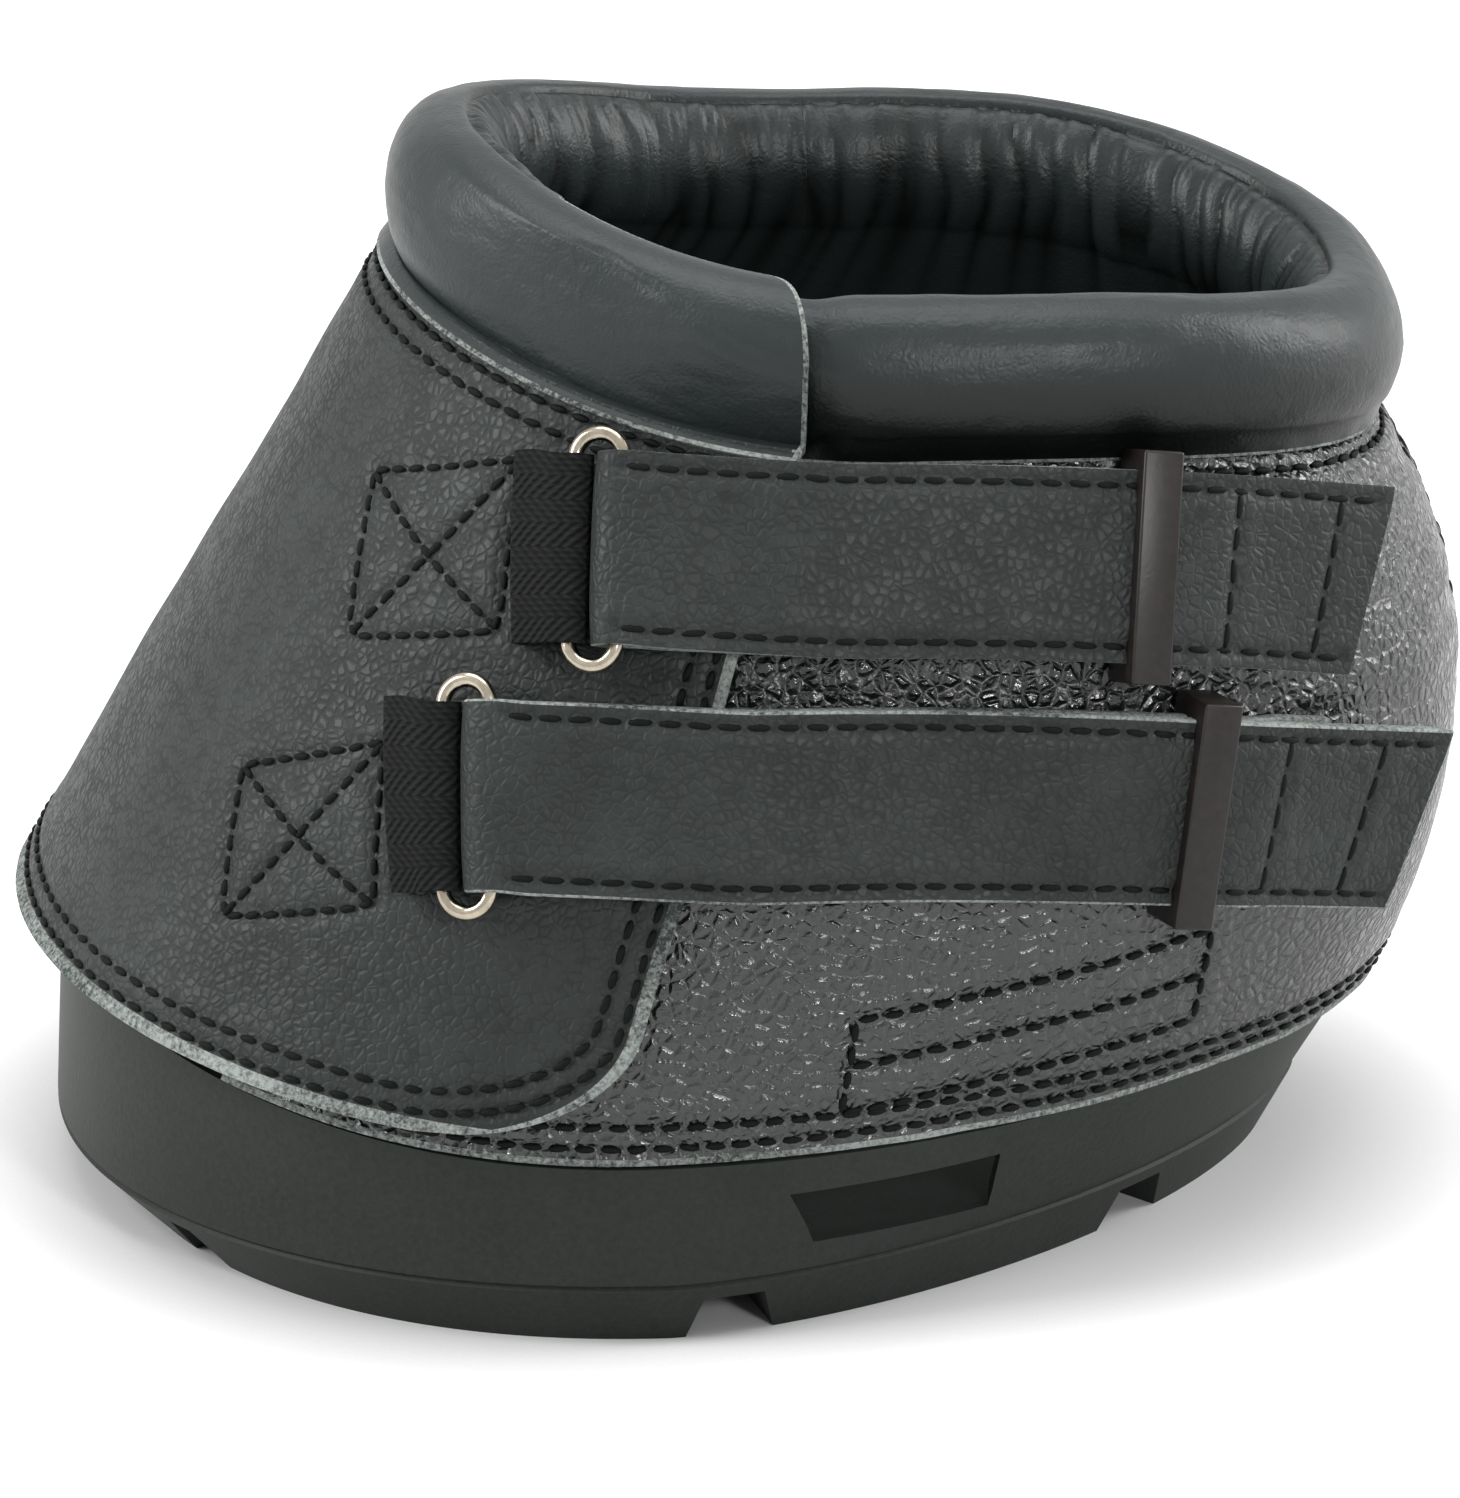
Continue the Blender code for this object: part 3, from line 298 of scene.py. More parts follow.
def addNode(tree, kind, settings=(), links=()):
    node = tree.nodes.new(kind)
    for key, value in dict(settings).items():
        if isinstance(key, int) or key in node.inputs:
            node.inputs[key].default_value = value
        else:
            setattr(node, key, value)
    for key, socket in dict(links).items():
        tree.links.new(socket, node.inputs[key])
    return node


def newFinish(name):
    material = bpy.data.materials.new(name)
    material.use_nodes = True
    tree = material.node_tree
    return material, tree, tree.nodes["Principled BSDF"]


def perMetre(size):                     # texture scale for a feature of this many millimetres
    return 1.0 / (size * mm)


def makeCowhide(name, dark, light, roughness, pebble, depth, shine, crease, smoothAreas):
    # Full-grain cowhide, drum-dyed black and tumbled: flat pebbles, soft gloss on them, and fine dull creases
    # with painted shade.
    material, tree, shader = newFinish(name)
    place = addNode(tree, "ShaderNodeTexCoord").outputs["Object"]
    warp = addNode(tree, "ShaderNodeTexNoise", {"Scale": perMetre(3.4), "Detail": 3.0}, {"Vector": place})
    bent = addNode(tree, "ShaderNodeMixRGB", {"blend_type": "LINEAR_LIGHT", "Fac": 0.45 * pebble * mm},
                   {"Color1": place, "Color2": warp.outputs["Color"]})
    cells = addNode(tree, "ShaderNodeTexVoronoi", {"feature": "DISTANCE_TO_EDGE", "Scale": perMetre(pebble)},
                    {"Vector": bent.outputs["Color"]})
    gaps = addNode(tree, "ShaderNodeTexNoise", {"Scale": perMetre(2.8), "Detail": 2.0}, {"Vector": place})
    gaps = addNode(tree, "ShaderNodeMapRange", {"From Min": 0.44, "From Max": 0.66, "To Max": smoothAreas},
                   {"Value": gaps.outputs["Fac"]})
    edge = addNode(tree, "ShaderNodeMath", {"operation": "ADD"},
                   {0: cells.outputs["Distance"], 1: gaps.outputs["Result"]}).outputs[0]
    domes = addNode(tree, "ShaderNodeMapRange", {"interpolation_type": "SMOOTHSTEP", "From Max": 0.34},
                    {"Value": edge})
    pores = addNode(tree, "ShaderNodeTexNoise", {"Scale": perMetre(0.9), "Detail": 3.0}, {"Vector": place})
    swell = addNode(tree, "ShaderNodeTexNoise", {"Scale": perMetre(5.5), "Detail": 4.0, "Roughness": 0.6},
                    {"Vector": place})
    height = addNode(tree, "ShaderNodeMath", {"operation": "MULTIPLY_ADD", 1: 0.8},
                     {0: pores.outputs["Fac"], 2: domes.outputs["Result"]})
    height = addNode(tree, "ShaderNodeMath", {"operation": "MULTIPLY_ADD", 1: 1.8},
                     {0: swell.outputs["Fac"], 2: height.outputs[0]})
    bump = addNode(tree, "ShaderNodeBump", {"Strength": 0.8, "Distance": depth * mm},
                   {"Height": height.outputs[0]})
    tone = addNode(tree, "ShaderNodeTexNoise", {"Scale": perMetre(18.0), "Detail": 5.0, "Roughness": 0.65},
                   {"Vector": place})
    cloud = addNode(tree, "ShaderNodeMapRange", {"From Min": 0.3, "From Max": 0.7},
                    {"Value": tone.outputs["Fac"]})
    base = addNode(tree, "ShaderNodeMixRGB", {"Color1": hexColour(dark), "Color2": hexColour(light)},
                   {"Fac": cloud.outputs["Result"]})
    # painted shade: the base colour is multiplied by the crease factor in the grain's creases
    paintedCreaseShade = addNode(tree, "ShaderNodeMixRGB",
                   {"blend_type": "MULTIPLY", "Color2": (crease, crease, crease, 1.0)},
                   {"Color1": base.outputs["Color"]})
    deep = addNode(tree, "ShaderNodeMapRange", {"From Max": 0.12, "To Min": 1.0, "To Max": 0.0},
                   {"Value": edge})
    tree.links.new(deep.outputs["Result"], paintedCreaseShade.inputs["Fac"])
    gloss = addNode(tree, "ShaderNodeMapRange", {"To Min": roughness + 0.18, "To Max": roughness - 0.03},
                    {"Value": domes.outputs["Result"]})
    shader.inputs["Specular IOR Level"].default_value = shine
    tree.links.new(paintedCreaseShade.outputs["Color"], shader.inputs["Base Color"])
    tree.links.new(gloss.outputs["Result"], shader.inputs["Roughness"])
    tree.links.new(bump.outputs["Normal"], shader.inputs["Normal"])
    return material


def makeGarmentLeather():
    # Nappa, a smooth aniline-dyed lambskin: fine creases, hardly any grain, satin gloss; shade painted into
    # the folds, the seam and the roll's underside.
    material, tree, shader = newFinish("nappaLeather")
    place = addNode(tree, "ShaderNodeTexCoord").outputs["Object"]
    folds = addNode(tree, "ShaderNodeAttribute", {"attribute_name": "fold"}).outputs["Fac"]
    fine = addNode(tree, "ShaderNodeTexVoronoi", {"feature": "DISTANCE_TO_EDGE", "Scale": perMetre(0.8)},
                   {"Vector": place})
    soft = addNode(tree, "ShaderNodeTexNoise", {"Scale": perMetre(3.2), "Detail": 6.0, "Roughness": 0.62,
                                                "Distortion": 0.8}, {"Vector": place})
    height = addNode(tree, "ShaderNodeMath", {"operation": "MULTIPLY_ADD", 1: 0.35},
                     {0: fine.outputs["Distance"], 2: soft.outputs["Fac"]})
    bump = addNode(tree, "ShaderNodeBump", {"Strength": 0.55, "Distance": 0.30 * mm},
                   {"Height": height.outputs[0]})
    tone = addNode(tree, "ShaderNodeTexNoise", {"Scale": perMetre(22.0), "Detail": 4.0}, {"Vector": place})
    base = addNode(tree, "ShaderNodeMixRGB", {"Color1": hexColour("#1f2424"), "Color2": hexColour("#2c3232")},
                   {"Fac": tone.outputs["Fac"]})
    # painted shade: near black where the fold attribute marks the folds, the seam groove and the roll's
    # underside
    paintedFoldShade = addNode(tree, "ShaderNodeMixRGB", {"Color2": hexColour("#040505")},
                     {"Color1": base.outputs["Color"], "Fac": folds})
    gloss = addNode(tree, "ShaderNodeMapRange", {"To Min": 0.32, "To Max": 0.46},
                    {"Value": soft.outputs["Fac"]})
    shader.inputs["Specular IOR Level"].default_value = 0.28
    tree.links.new(paintedFoldShade.outputs["Color"], shader.inputs["Base Color"])
    tree.links.new(gloss.outputs["Result"], shader.inputs["Roughness"])
    tree.links.new(bump.outputs["Normal"], shader.inputs["Normal"])
    return material


def makePlain(name, dark, light, roughness, grain, depth, metallic=0.0, sheen=0.0, contrast=(0.3, 0.7),
              shine=0.5):
    # Shared by the finishes whose surface is one even grain; each says below what it is.
    material, tree, shader = newFinish(name)
    place = addNode(tree, "ShaderNodeTexCoord").outputs["Object"]
    speck = addNode(tree, "ShaderNodeTexNoise", {"Scale": perMetre(grain), "Detail": 5.0, "Roughness": 0.7},
                    {"Vector": place})
    cloud = addNode(tree, "ShaderNodeTexNoise", {"Scale": perMetre(24.0), "Detail": 3.0}, {"Vector": place})
    mixed = addNode(tree, "ShaderNodeMath", {"operation": "MULTIPLY_ADD", 1: 0.6},
                    {0: cloud.outputs["Fac"], 2: speck.outputs["Fac"]})
    level = addNode(tree, "ShaderNodeMapRange",
                    {"From Min": contrast[0] + 0.3, "From Max": contrast[1] + 0.3},
                    {"Value": mixed.outputs[0]})
    base = addNode(tree, "ShaderNodeMixRGB", {"Color1": hexColour(dark), "Color2": hexColour(light)},
                   {"Fac": level.outputs["Result"]})
    bump = addNode(tree, "ShaderNodeBump", {"Strength": 0.6, "Distance": depth * mm},
                   {"Height": speck.outputs["Fac"]})
    shader.inputs["Roughness"].default_value = roughness
    shader.inputs["Metallic"].default_value = metallic
    shader.inputs["Specular IOR Level"].default_value = shine
    shader.inputs["Sheen Weight"].default_value = sheen
    tree.links.new(base.outputs["Color"], shader.inputs["Base Color"])
    tree.links.new(bump.outputs["Normal"], shader.inputs["Normal"])
    return material


def makeWebbing():
    # Herringbone polypropylene webbing: dull black ribs that change slant every few threads, with shade
    # painted into the hollows between them.
    material, tree, shader = newFinish("herringboneWebbing")
    place = addNode(tree, "ShaderNodeUVMap", {"uv_map": "cloth"}).outputs["UV"]
    parts = addNode(tree, "ShaderNodeSeparateXYZ", {}, {"Vector": place})
    fold = addNode(tree, "ShaderNodeMath", {"operation": "PINGPONG", 1: 2.75 * mm}, {0: parts.outputs["Y"]})
    slant = addNode(tree, "ShaderNodeMath", {"operation": "ADD"}, {0: fold.outputs[0], 1: parts.outputs["X"]})
    rib = addNode(tree, "ShaderNodeMath", {"operation": "PINGPONG", 1: 0.62 * mm}, {0: slant.outputs[0]})
    pick = addNode(tree, "ShaderNodeMath", {"operation": "PINGPONG", 1: 0.34 * mm}, {0: parts.outputs["Y"]})
    height = addNode(tree, "ShaderNodeMath", {"operation": "MULTIPLY_ADD", 1: 0.8},
                     {0: pick.outputs[0], 2: rib.outputs[0]})
    level = addNode(tree, "ShaderNodeMapRange", {"From Max": 0.8 * mm}, {"Value": height.outputs[0]})
    bump = addNode(tree, "ShaderNodeBump", {"Strength": 1.0, "Distance": 0.7 * mm},
                   {"Height": level.outputs["Result"]})
    # painted shade: colour follows the weave's height, near black in the hollows and dark grey on the rib
    # tops
    base = addNode(tree, "ShaderNodeMixRGB", {"Color1": hexColour("#020202"), "Color2": hexColour("#202122")},
                   {"Fac": level.outputs["Result"]})
    shader.inputs["Roughness"].default_value = 0.8
    shader.inputs["Specular IOR Level"].default_value = 0.15
    tree.links.new(base.outputs["Color"], shader.inputs["Base Color"])
    tree.links.new(bump.outputs["Normal"], shader.inputs["Normal"])
    return material


# The flap's and straps' hide is left dull with a small pebble; the quarters' is glazed, darker and
# shinier, with a larger one.
tumbledCowhide = makeCowhide("tumbledCowhide", "#222625", "#303433", 0.46, 1.25, 0.14, 0.22, 0.70, 0.16)
glossyCowhide = makeCowhide("glossyCowhide", "#101413", "#1b1f1e", 0.20, 1.7, 0.26, 0.70, 0.40, 0.05)
nappaLeather = makeGarmentLeather()
# Chrome-tanned core of the hide where it is cut: pale grey, fuzzy and quite dull.
cutHideEdge = makePlain("cutHideEdge", "#3d4240", "#a3a9a5", 0.95, 0.6, 0.4, contrast=(0.34, 0.62), shine=0.2)
# Black natural rubber, press-moulded in a blasted mould: matte with a very fine grain.
mouldedRubber = makePlain("mouldedRubber", "#202420", "#2c302d", 0.52, 0.8, 0.10, shine=0.18)
# Bonded polyester thread, black, a little waxy.
bondedThread = makePlain("bondedThread", "#020303", "#0f1111", 0.6, 0.5, 0.12, shine=0.1)
# Bright nickel plate over steel wire, warm in tone.
nickelPlate = makePlain("nickelPlate", "#938a7a", "#b8af9e", 0.2, 2.5, 0.03, metallic=1.0)
# Moulded nylon, black-brown, satin.
mouldedNylon = makePlain("mouldedNylon", "#120f0e", "#231e1c", 0.36, 1.2, 0.05, shine=0.3)
# Napped warp-knit lining: black, all fuzz.
nappedLining = makePlain("nappedLining", "#040505", "#0e1011", 0.95, 0.8, 0.5, sheen=0.1, shine=0.1)
# Woven hook-and-loop tape: black nylon pile.
hookAndLoop = makePlain("hookAndLoopTape", "#040404", "#161717", 0.85, 0.6, 0.8, shine=0.15)
# Woven polyester seam tape.
seamTape = makePlain("wovenSeamTape", "#0a0a0b", "#191a1b", 0.8, 0.5, 0.3)
herringboneWebbing = makeWebbing()
print("materials made")


# Front flap
flap = {"columns": 260, "rows": 104, "rearTurn": 1.51, "leanTurn": 0.14, "leanShare": 0.40,
        "cornerTurn": 0.32, "cornerShare": 0.16, "topShare": 0.978, "liftShare": 0.04,
        "edgeRows": (2.4, 5.2), "topRows": (2.6, 5.4), "pitch": 3.1, "crossPitch": 2.7,
        "cloth": (230, 92)}


def flapInner(turn):
    return -layers["quarter"] + (closedLift + layers["quarter"]) * smooth((turn + 1.25) / 0.60)


def lean(share):
    return np.maximum(0.0, (share - flap["leanShare"]) / (1 - flap["leanShare"]))


def flapRear(share):
    rise = share - flap["liftShare"]
    drop = np.clip(1 - np.maximum(rise, 0.0) / flap["cornerShare"], 0.0, 1.0)
    corner = flap["cornerTurn"] * (1 - np.sqrt(1 - drop * drop))
    return flap["rearTurn"] - flap["leanTurn"] * lean(share) - corner


def flapPoint(turn, level, lift):
    low = flap["liftShare"] * np.sin(turn) ** 2
    return skin(turn, low + (flap["topShare"] - low) * level, flapInner(turn) + lift)


def flapPlace(along, up, lift=layers["flap"]):
    level = 0.35 * up ** 2 + 0.65 * up       # rows closer together at the rounded corner
    rowEdge = hingeTurn(lambda turn: flapPoint(turn, level, lift), -0.15, level)
    rear = flapRear(flap["liftShare"] + (flap["topShare"] - flap["liftShare"]) * level)
    return flapPoint(rowEdge + (rear - rowEdge) * along, level, lift)


def insetPath(place, along, up, inset):   # a path set in from a sheet's edge, over its face
    points = place(along, up)
    middle = place(np.array([0.5]), np.array([0.5]))[0]
    stepAlong = place(np.clip(along + 0.01, 0, 1), up) - place(np.clip(along - 0.01, 0, 1), up)
    stepUp = place(along, np.clip(up + 0.01, 0, 1)) - place(along, np.clip(up - 0.01, 0, 1))
    normal = unit(np.cross(stepAlong, stepUp))
    tangent = unit(np.gradient(points, axis=0))
    inward = unit(np.cross(normal, tangent))
    toMiddle = np.sum(inward * (middle - points), axis=-1).sum()
    return points + inward * np.sign(toMiddle) * inset * mm


def flapRows():
    rows = []
    ends = np.linspace(0.004, 1.0, 160)
    for inset in flap["edgeRows"]:
        along = np.concatenate([ends, np.ones(60)])
        up = np.concatenate([np.zeros(160), np.linspace(0.0, 0.955, 61)[1:]])
        rows.append(insetPath(flapPlace, along, up, inset)[2:])
    for inset in flap["topRows"]:
        rows.append(insetPath(flapPlace, np.linspace(0.004, 0.975, 120), np.ones(120), inset))
    return rows


def between(corners, steps=24):         # turns and shares along straight lines from corner to corner
    path = np.array(corners, float)
    marks = np.linspace(0, len(path) - 1, steps * (len(path) - 1) + 1)
    return [np.interp(marks, np.arange(len(path)), path[:, k]) for k in range(2)]


def straight(corners):                  # a row of stitches between places on the flap
    turn, share = between(corners)
    return skin(turn, share, flapInner(turn) + layers["flap"])


crossBoxes = [((0.497, 0.774), (0.835, 0.879), (0.966, 0.678), (0.656, 0.588)),
              ((0.572, 0.377), (0.853, 0.497), (0.975, 0.302), (0.694, 0.201))]


def makeFlap():
    mesh = drape("frontFlapLeather", flap["columns"], flap["rows"], flapPlace, flap["cloth"])
    rows = flapRows()
    boxes = []
    for a, b, c, d in crossBoxes:
        boxes += [straight((a, b, c, d, a)), straight((a, c)), straight((d, b))]
    points = readPoints(mesh)
    push(mesh, 0.30 * fuzz(points, 26.0) + 0.16 * fuzz(points, 9.0, 7.0))
    dentRows(mesh, rows, flap["pitch"])
    dentRows(mesh, boxes, flap["crossPitch"], hole=0.3)
    item = finish(mesh, [tumbledCowhide, cutHideEdge], "flap", ["front_flap"])
    rawEdges(mesh, flap["cloth"], (0.0, 1.6 / flap["columns"], 2.6 / flap["rows"], 0.0))
    thicken(item, layers["flap"], softness=0.8)
    sew("flapEdgeStitches", mesh, rows, flap["pitch"], "flap")
    sew("flapCrossStitches", mesh, boxes, flap["crossPitch"], "flap", seed=2)


makeFlap()
print("flap made")


# Quarters, linings and the patches behind them
quarters = {"frontTurn": 0.80, "seam": 0.09, "columns": 200, "rows": 104, "pitch": 3.1,
            "edgeRows": (2.0, 4.6), "topRows": (2.0, 4.4), "cloth": (190, 88)}
reinforcement = ((1.782, 0.196), (2.260, 0.257), (2.316, 0.106), (1.829, 0.056))


def onQuarter(corners, steps=24, mirror=False):
    turn, share = between(corners, steps)
    return skin(2 * halfTurn - turn if mirror else turn, share, 0.0)


def quarterPlace(far):
    def place(along, up):
        if far:
            start = np.full(up.shape, halfTurn + 0.004)
            end = 2 * halfTurn + hingeTurn(lambda turn: skin(turn, up, 0.0), 0.15, up)
        else:
            start = np.full(up.shape, quarters["frontTurn"])
            end = np.full(up.shape, halfTurn - 0.004)
        return skin(start + (end - start) * along, up, 0.0)
    return place


def makeQuarter(name, far, nodes):
    place = quarterPlace(far)
    mesh = drape(name, quarters["columns"], quarters["rows"], place, quarters["cloth"])
    line = np.linspace(0.01, 0.99, 140)
    rows = [insetPath(place, line, np.zeros(140), inset) for inset in quarters["edgeRows"]]
    rows += [insetPath(place, line, np.ones(140), inset) for inset in quarters["topRows"]]
    heelEnd = 0.0 if far else 1.0
    rows.append(insetPath(place, np.full(80, heelEnd), np.linspace(0.04, 0.95, 80), 1.7))
    a, b, c, d = (np.array(corner) for corner in reinforcement)
    box = [onQuarter((a, b), mirror=far), onQuarter(((a + d) / 2, (b + c) / 2), mirror=far),
           onQuarter((d, c), mirror=far), onQuarter((a, d), 8, far), onQuarter((b, c), 8, far)]
    points = readPoints(mesh)
    heelward = smooth((points[:, 0] / mm - 5.0) / 40.0)
    creases = fuzz(points, 7.0, 3.0, (0.5, 0.5, 1.9)) * heelward * smooth((points[:, 2] / mm - 45.0) / 25.0)
    push(mesh, 0.35 * fuzz(points, 24.0, 11.0) + 0.55 * creases + 0.12 * fuzz(points, 5.0, 5.0))
    dentRows(mesh, rows + box, quarters["pitch"])
    item = finish(mesh, [glossyCowhide, cutHideEdge], "boot", nodes)
    rawEdges(mesh, quarters["cloth"], (0.0, 0.0, 1.1 / quarters["rows"], 0.0))
    thicken(item, layers["quarter"], softness=0.7)
    sew(name + "Stitches", mesh, rows + box, quarters["pitch"], "boot", seed=3 + far)


makeQuarter("nearQuarterLeather", False, ["near_quarter"])
makeQuarter("farQuarterLeather", True, ["far_quarter"])

inner = {"lowShare": 0.14, "topShare": 0.955, "tapeReach": 0.14, "stiffenerTurn": 2.04,
         "stiffenerReach": 0.26, "stiffenerTop": 0.27}
tapeLift = -layers["quarter"] - layers["seat"]
liningLift = tapeLift - layers["tape"] - layers["seat"]


def band(name, start, end, low, top, lift, columns, rows, finishes, body, nodes, thickness, rough=0.0):
    # a sheet between two turns and two shares of the height; a start or end of None is the hinge line
    def place(along, up):
        share = low + (top - low) * up

        def layer(turn):
            return skin(turn, share, lift(turn))
        first = hingeTurn(layer, -0.3, share) if start is None else start
        last = 2 * halfTurn + hingeTurn(layer, 0.15, share) if end is None else end
        turn = first + (last - first) * along
        return skin(turn, share, lift(turn))
    mesh = drape(name, columns, rows, place, (columns, rows))
    if rough:
        push(mesh, rough * fuzz(readPoints(mesh), 6.0, 2.0) + rough * fuzz(readPoints(mesh), 17.0, 9.0))
    item = finish(mesh, finishes, body, nodes)
    thicken(item, thickness, softness=0.2)


def flat(value):
    return lambda turn: np.full(np.shape(turn), value)


band("heelSeamTape", halfTurn - inner["tapeReach"], halfTurn + inner["tapeReach"], inner["lowShare"],
     inner["topShare"], flat(tapeLift), 20, 60, [seamTape], "boot", ["heel_seam_tape"],
     layers["tape"])
for name, middle, node in (("nearHeelStiffener", inner["stiffenerTurn"], "near_stiffener"),
                           ("farHeelStiffener", 2 * halfTurn - inner["stiffenerTurn"], "far_stiffener")):
    band(name, middle - inner["stiffenerReach"], middle + inner["stiffenerReach"], inner["lowShare"],
         inner["stiffenerTop"], flat(tapeLift), 40, 14, [seamTape], "boot", [node], layers["tape"])
band("nearNappedLining", quarters["frontTurn"], halfTurn - 0.18, inner["lowShare"], inner["topShare"],
     flat(liningLift), 150, 70, [nappedLining], "boot", ["near_lining"], layers["lining"], 0.25)
band("farNappedLining", halfTurn + 0.18, None, inner["lowShare"], inner["topShare"],
     flat(liningLift), 130, 70, [nappedLining], "boot", ["far_lining"], layers["lining"], 0.25)
band("flapNappedLining", None, 0.40, inner["lowShare"], 0.925,
     lambda turn: flapInner(turn) - layers["seat"], 150, 70, [nappedLining], "flap",
     ["flap_lining"], layers["lining"], 0.2)
patch = {"firstTurn": 1.17, "low": 0.17, "top": 0.90}
patchLift = layers["seat"] + layers["patch"]
for name, lastTurn, lift, body, node in (
        ("quarterLoopPatch", 1.37, patchLift, "boot", "quarter_loop_patch"),
        ("flapHookPatch", 1.36, 2 * patchLift, "flap", "flap_hook_patch")):
    band(name, patch["firstTurn"], lastTurn, patch["low"], patch["top"], flat(lift), 24, 90,
         [hookAndLoop], body, [node], layers["patch"], 0.08)
print("quarters and linings made")


# Collar: a foam roll in soft leather, gathered on its inner side
roll = {"halfWidth": 7.2, "halfHeight": 9.7, "inset": 2.7, "lift": 7.0, "seamAngle": 110, "seamWidth": 4.5,
        "lowAngle": -34, "tuckAngle": 232, "tuckShare": 0.84, "extra": 1.2, "swellTurn": -0.40,
        "swellSpan": 0.75,
        "rearStart": 0.92, "overlapTurn": 1.372, "cornerTurn": 0.145, "cornerShare": 0.58, "overlapTop": 106,
        "creaseAngles": (60.0, 16.0), "creaseTurns": (0.88, 1.35), "creaseDepth": 0.45, "shadeAngle": 36.0,
        "fadeTurn": 0.42, "fadeSpan": 0.26, "bridge": (-1.46, -1.00), "footRows": 0.08, "tuckRows": 0.88}


def rollPoint(turn, angle, extra):
    base = sidePoint(turn, 1.0)
    byTurn = slopes(turn, 1.0)[0]
    outward = unit(np.stack([byTurn[..., 1], -byTurn[..., 0], np.zeros(byTurn.shape[:-1])], -1))
    wide = (roll["halfWidth"] + extra) * np.cos(angle) - roll["inset"]
    high = roll["lift"] + (roll["halfHeight"] + extra) * np.sin(angle)
    return base + outward * wide[..., None] * mm + np.stack([0 * high, 0 * high, high], -1) * mm


def rollRun(turn):                      # arc length round the collar, in millimetres
    marks = np.linspace(-2.2, 2 * halfTurn, 900)
    steps = np.linalg.norm(np.diff(sidePoint(marks, 1.0), axis=0), axis=1) / mm
    return np.interp(turn, marks, np.concatenate([[0.0], np.cumsum(steps)]))


def wave(*place):
    return noise.noise(place)


def gathers(run, angle, gathered):      # push of the leather along its normal, and how much shade is painted there, in the folds and the seam
    past = np.degrees(angle) - roll["seamAngle"]
    lift, fold = np.empty(len(run)), np.empty(len(run))
    for index, (r, p) in enumerate(zip(run, past)):
        outer = 0.26 * wave(r / 17.0, p / 45.0, 6.0) + 0.08 * wave(r / 5.0, p / 9.0, 3.0)
        drift = r + 1.6 * wave(r / 11.0, p / 50.0, 1.0)
        folds = abs(wave(drift / 2.4, p / 130.0, 4.0)) ** 0.6 * math.exp(-max(p, 0.0) / 45.0)
        tucks = abs(wave(drift / 5.2, p / 160.0, 9.0)) ** 0.7
        soft = wave(r / 9.0, p / 70.0, 2.0)
        inside = float(smooth(p / 7.0))
        pleated = 0.95 * folds + 0.95 * tucks + 0.45 * soft - 0.75
        seam = math.exp(-(p / roll["seamWidth"]) ** 2)
        lift[index] = ((1 - inside) * outer + inside * pleated - 0.8 * seam) * gathered[index]
        # shade painted deep in the pleats; the fold value below also paints shade along the seam groove
        shaded = inside * float(smooth(0.25 - 1.3 * (folds + tucks - 0.45)))
        fold[index] = max(0.9 * seam, shaded) * gathered[index]
    return lift, fold


def flatOut(turn):                      # 0 where the collar is a roll, 1 where it lies as a flat overlap
    return smooth((turn - roll["fadeTurn"]) / roll["fadeSpan"])


def frontSwell(turn):
    return roll["extra"] * smooth((turn - roll["swellTurn"]) / roll["swellSpan"])


def creaseAngle(turn):                  # the overlap is flat below this line of the roll, in degrees
    first, last = roll["creaseTurns"]
    high, low = roll["creaseAngles"]
    return high + (low - high) * smooth((turn - first) / (last - first))


def pressed(turn, angle, extra, press):  # the roll, pressed flat below the crease
    points = rollPoint(turn, angle, extra)
    crease = creaseAngle(turn)
    below = skin(turn, 0.985, 0.6 + extra + flapInner(turn) - flapInner(np.zeros(turn.shape)))
    shoulder = rollPoint(turn, np.radians(crease), extra)
    share = np.clip((np.degrees(angle) - roll["lowAngle"]) / (crease - roll["lowAngle"]), 0.0, 1.0)[..., None]
    mix = (0.85 * press * smooth((turn - 0.1) / 0.7) * (np.degrees(angle) < crease))[..., None]
    return points * (1 - mix) + (below * (1 - share) + shoulder * share) * mix


def rearSection(turn, level):
    angle = np.radians(roll["lowAngle"] + (roll["tuckAngle"] - roll["lowAngle"]) * level)
    press = (1 - smooth((turn - roll["overlapTurn"] + 0.02) / 0.12)) * (turn > 0)
    return pressed(turn, angle, -1.0 * press, press), angle, np.ones(turn.shape)


def rearFoot(turn, share):
    return skin(turn, 0.968 + 0.02 * share, 0.55 + 0.10 * np.sin(rollRun(turn)) * (1 - share))


def rearTuck(turn, share):
    return skin(turn, 0.96 - (0.96 - roll["tuckShare"]) * share, -6.4)


def frontSection(turn, level):
    flatness = flatOut(turn)
    top = roll["tuckAngle"] + (roll["overlapTop"] - roll["tuckAngle"]) * flatness
    angle = np.radians(roll["lowAngle"] + (top - roll["lowAngle"]) * level)
    return pressed(turn, angle, frontSwell(turn), 1.0), angle, 1 - flatness


def frontFoot(turn, share):
    return skin(turn, 0.962 + 0.036 * share, layers["flap"] + 0.5 + flapInner(turn))


def overlapEnd(up):                     # near end of the overlap, its upper corner rounded
    corner = np.clip((up - 1 + roll["cornerShare"]) / roll["cornerShare"], 0.0, 1.0)
    return roll["overlapTurn"] - roll["cornerTurn"] * (1 - np.sqrt(1 - corner * corner))


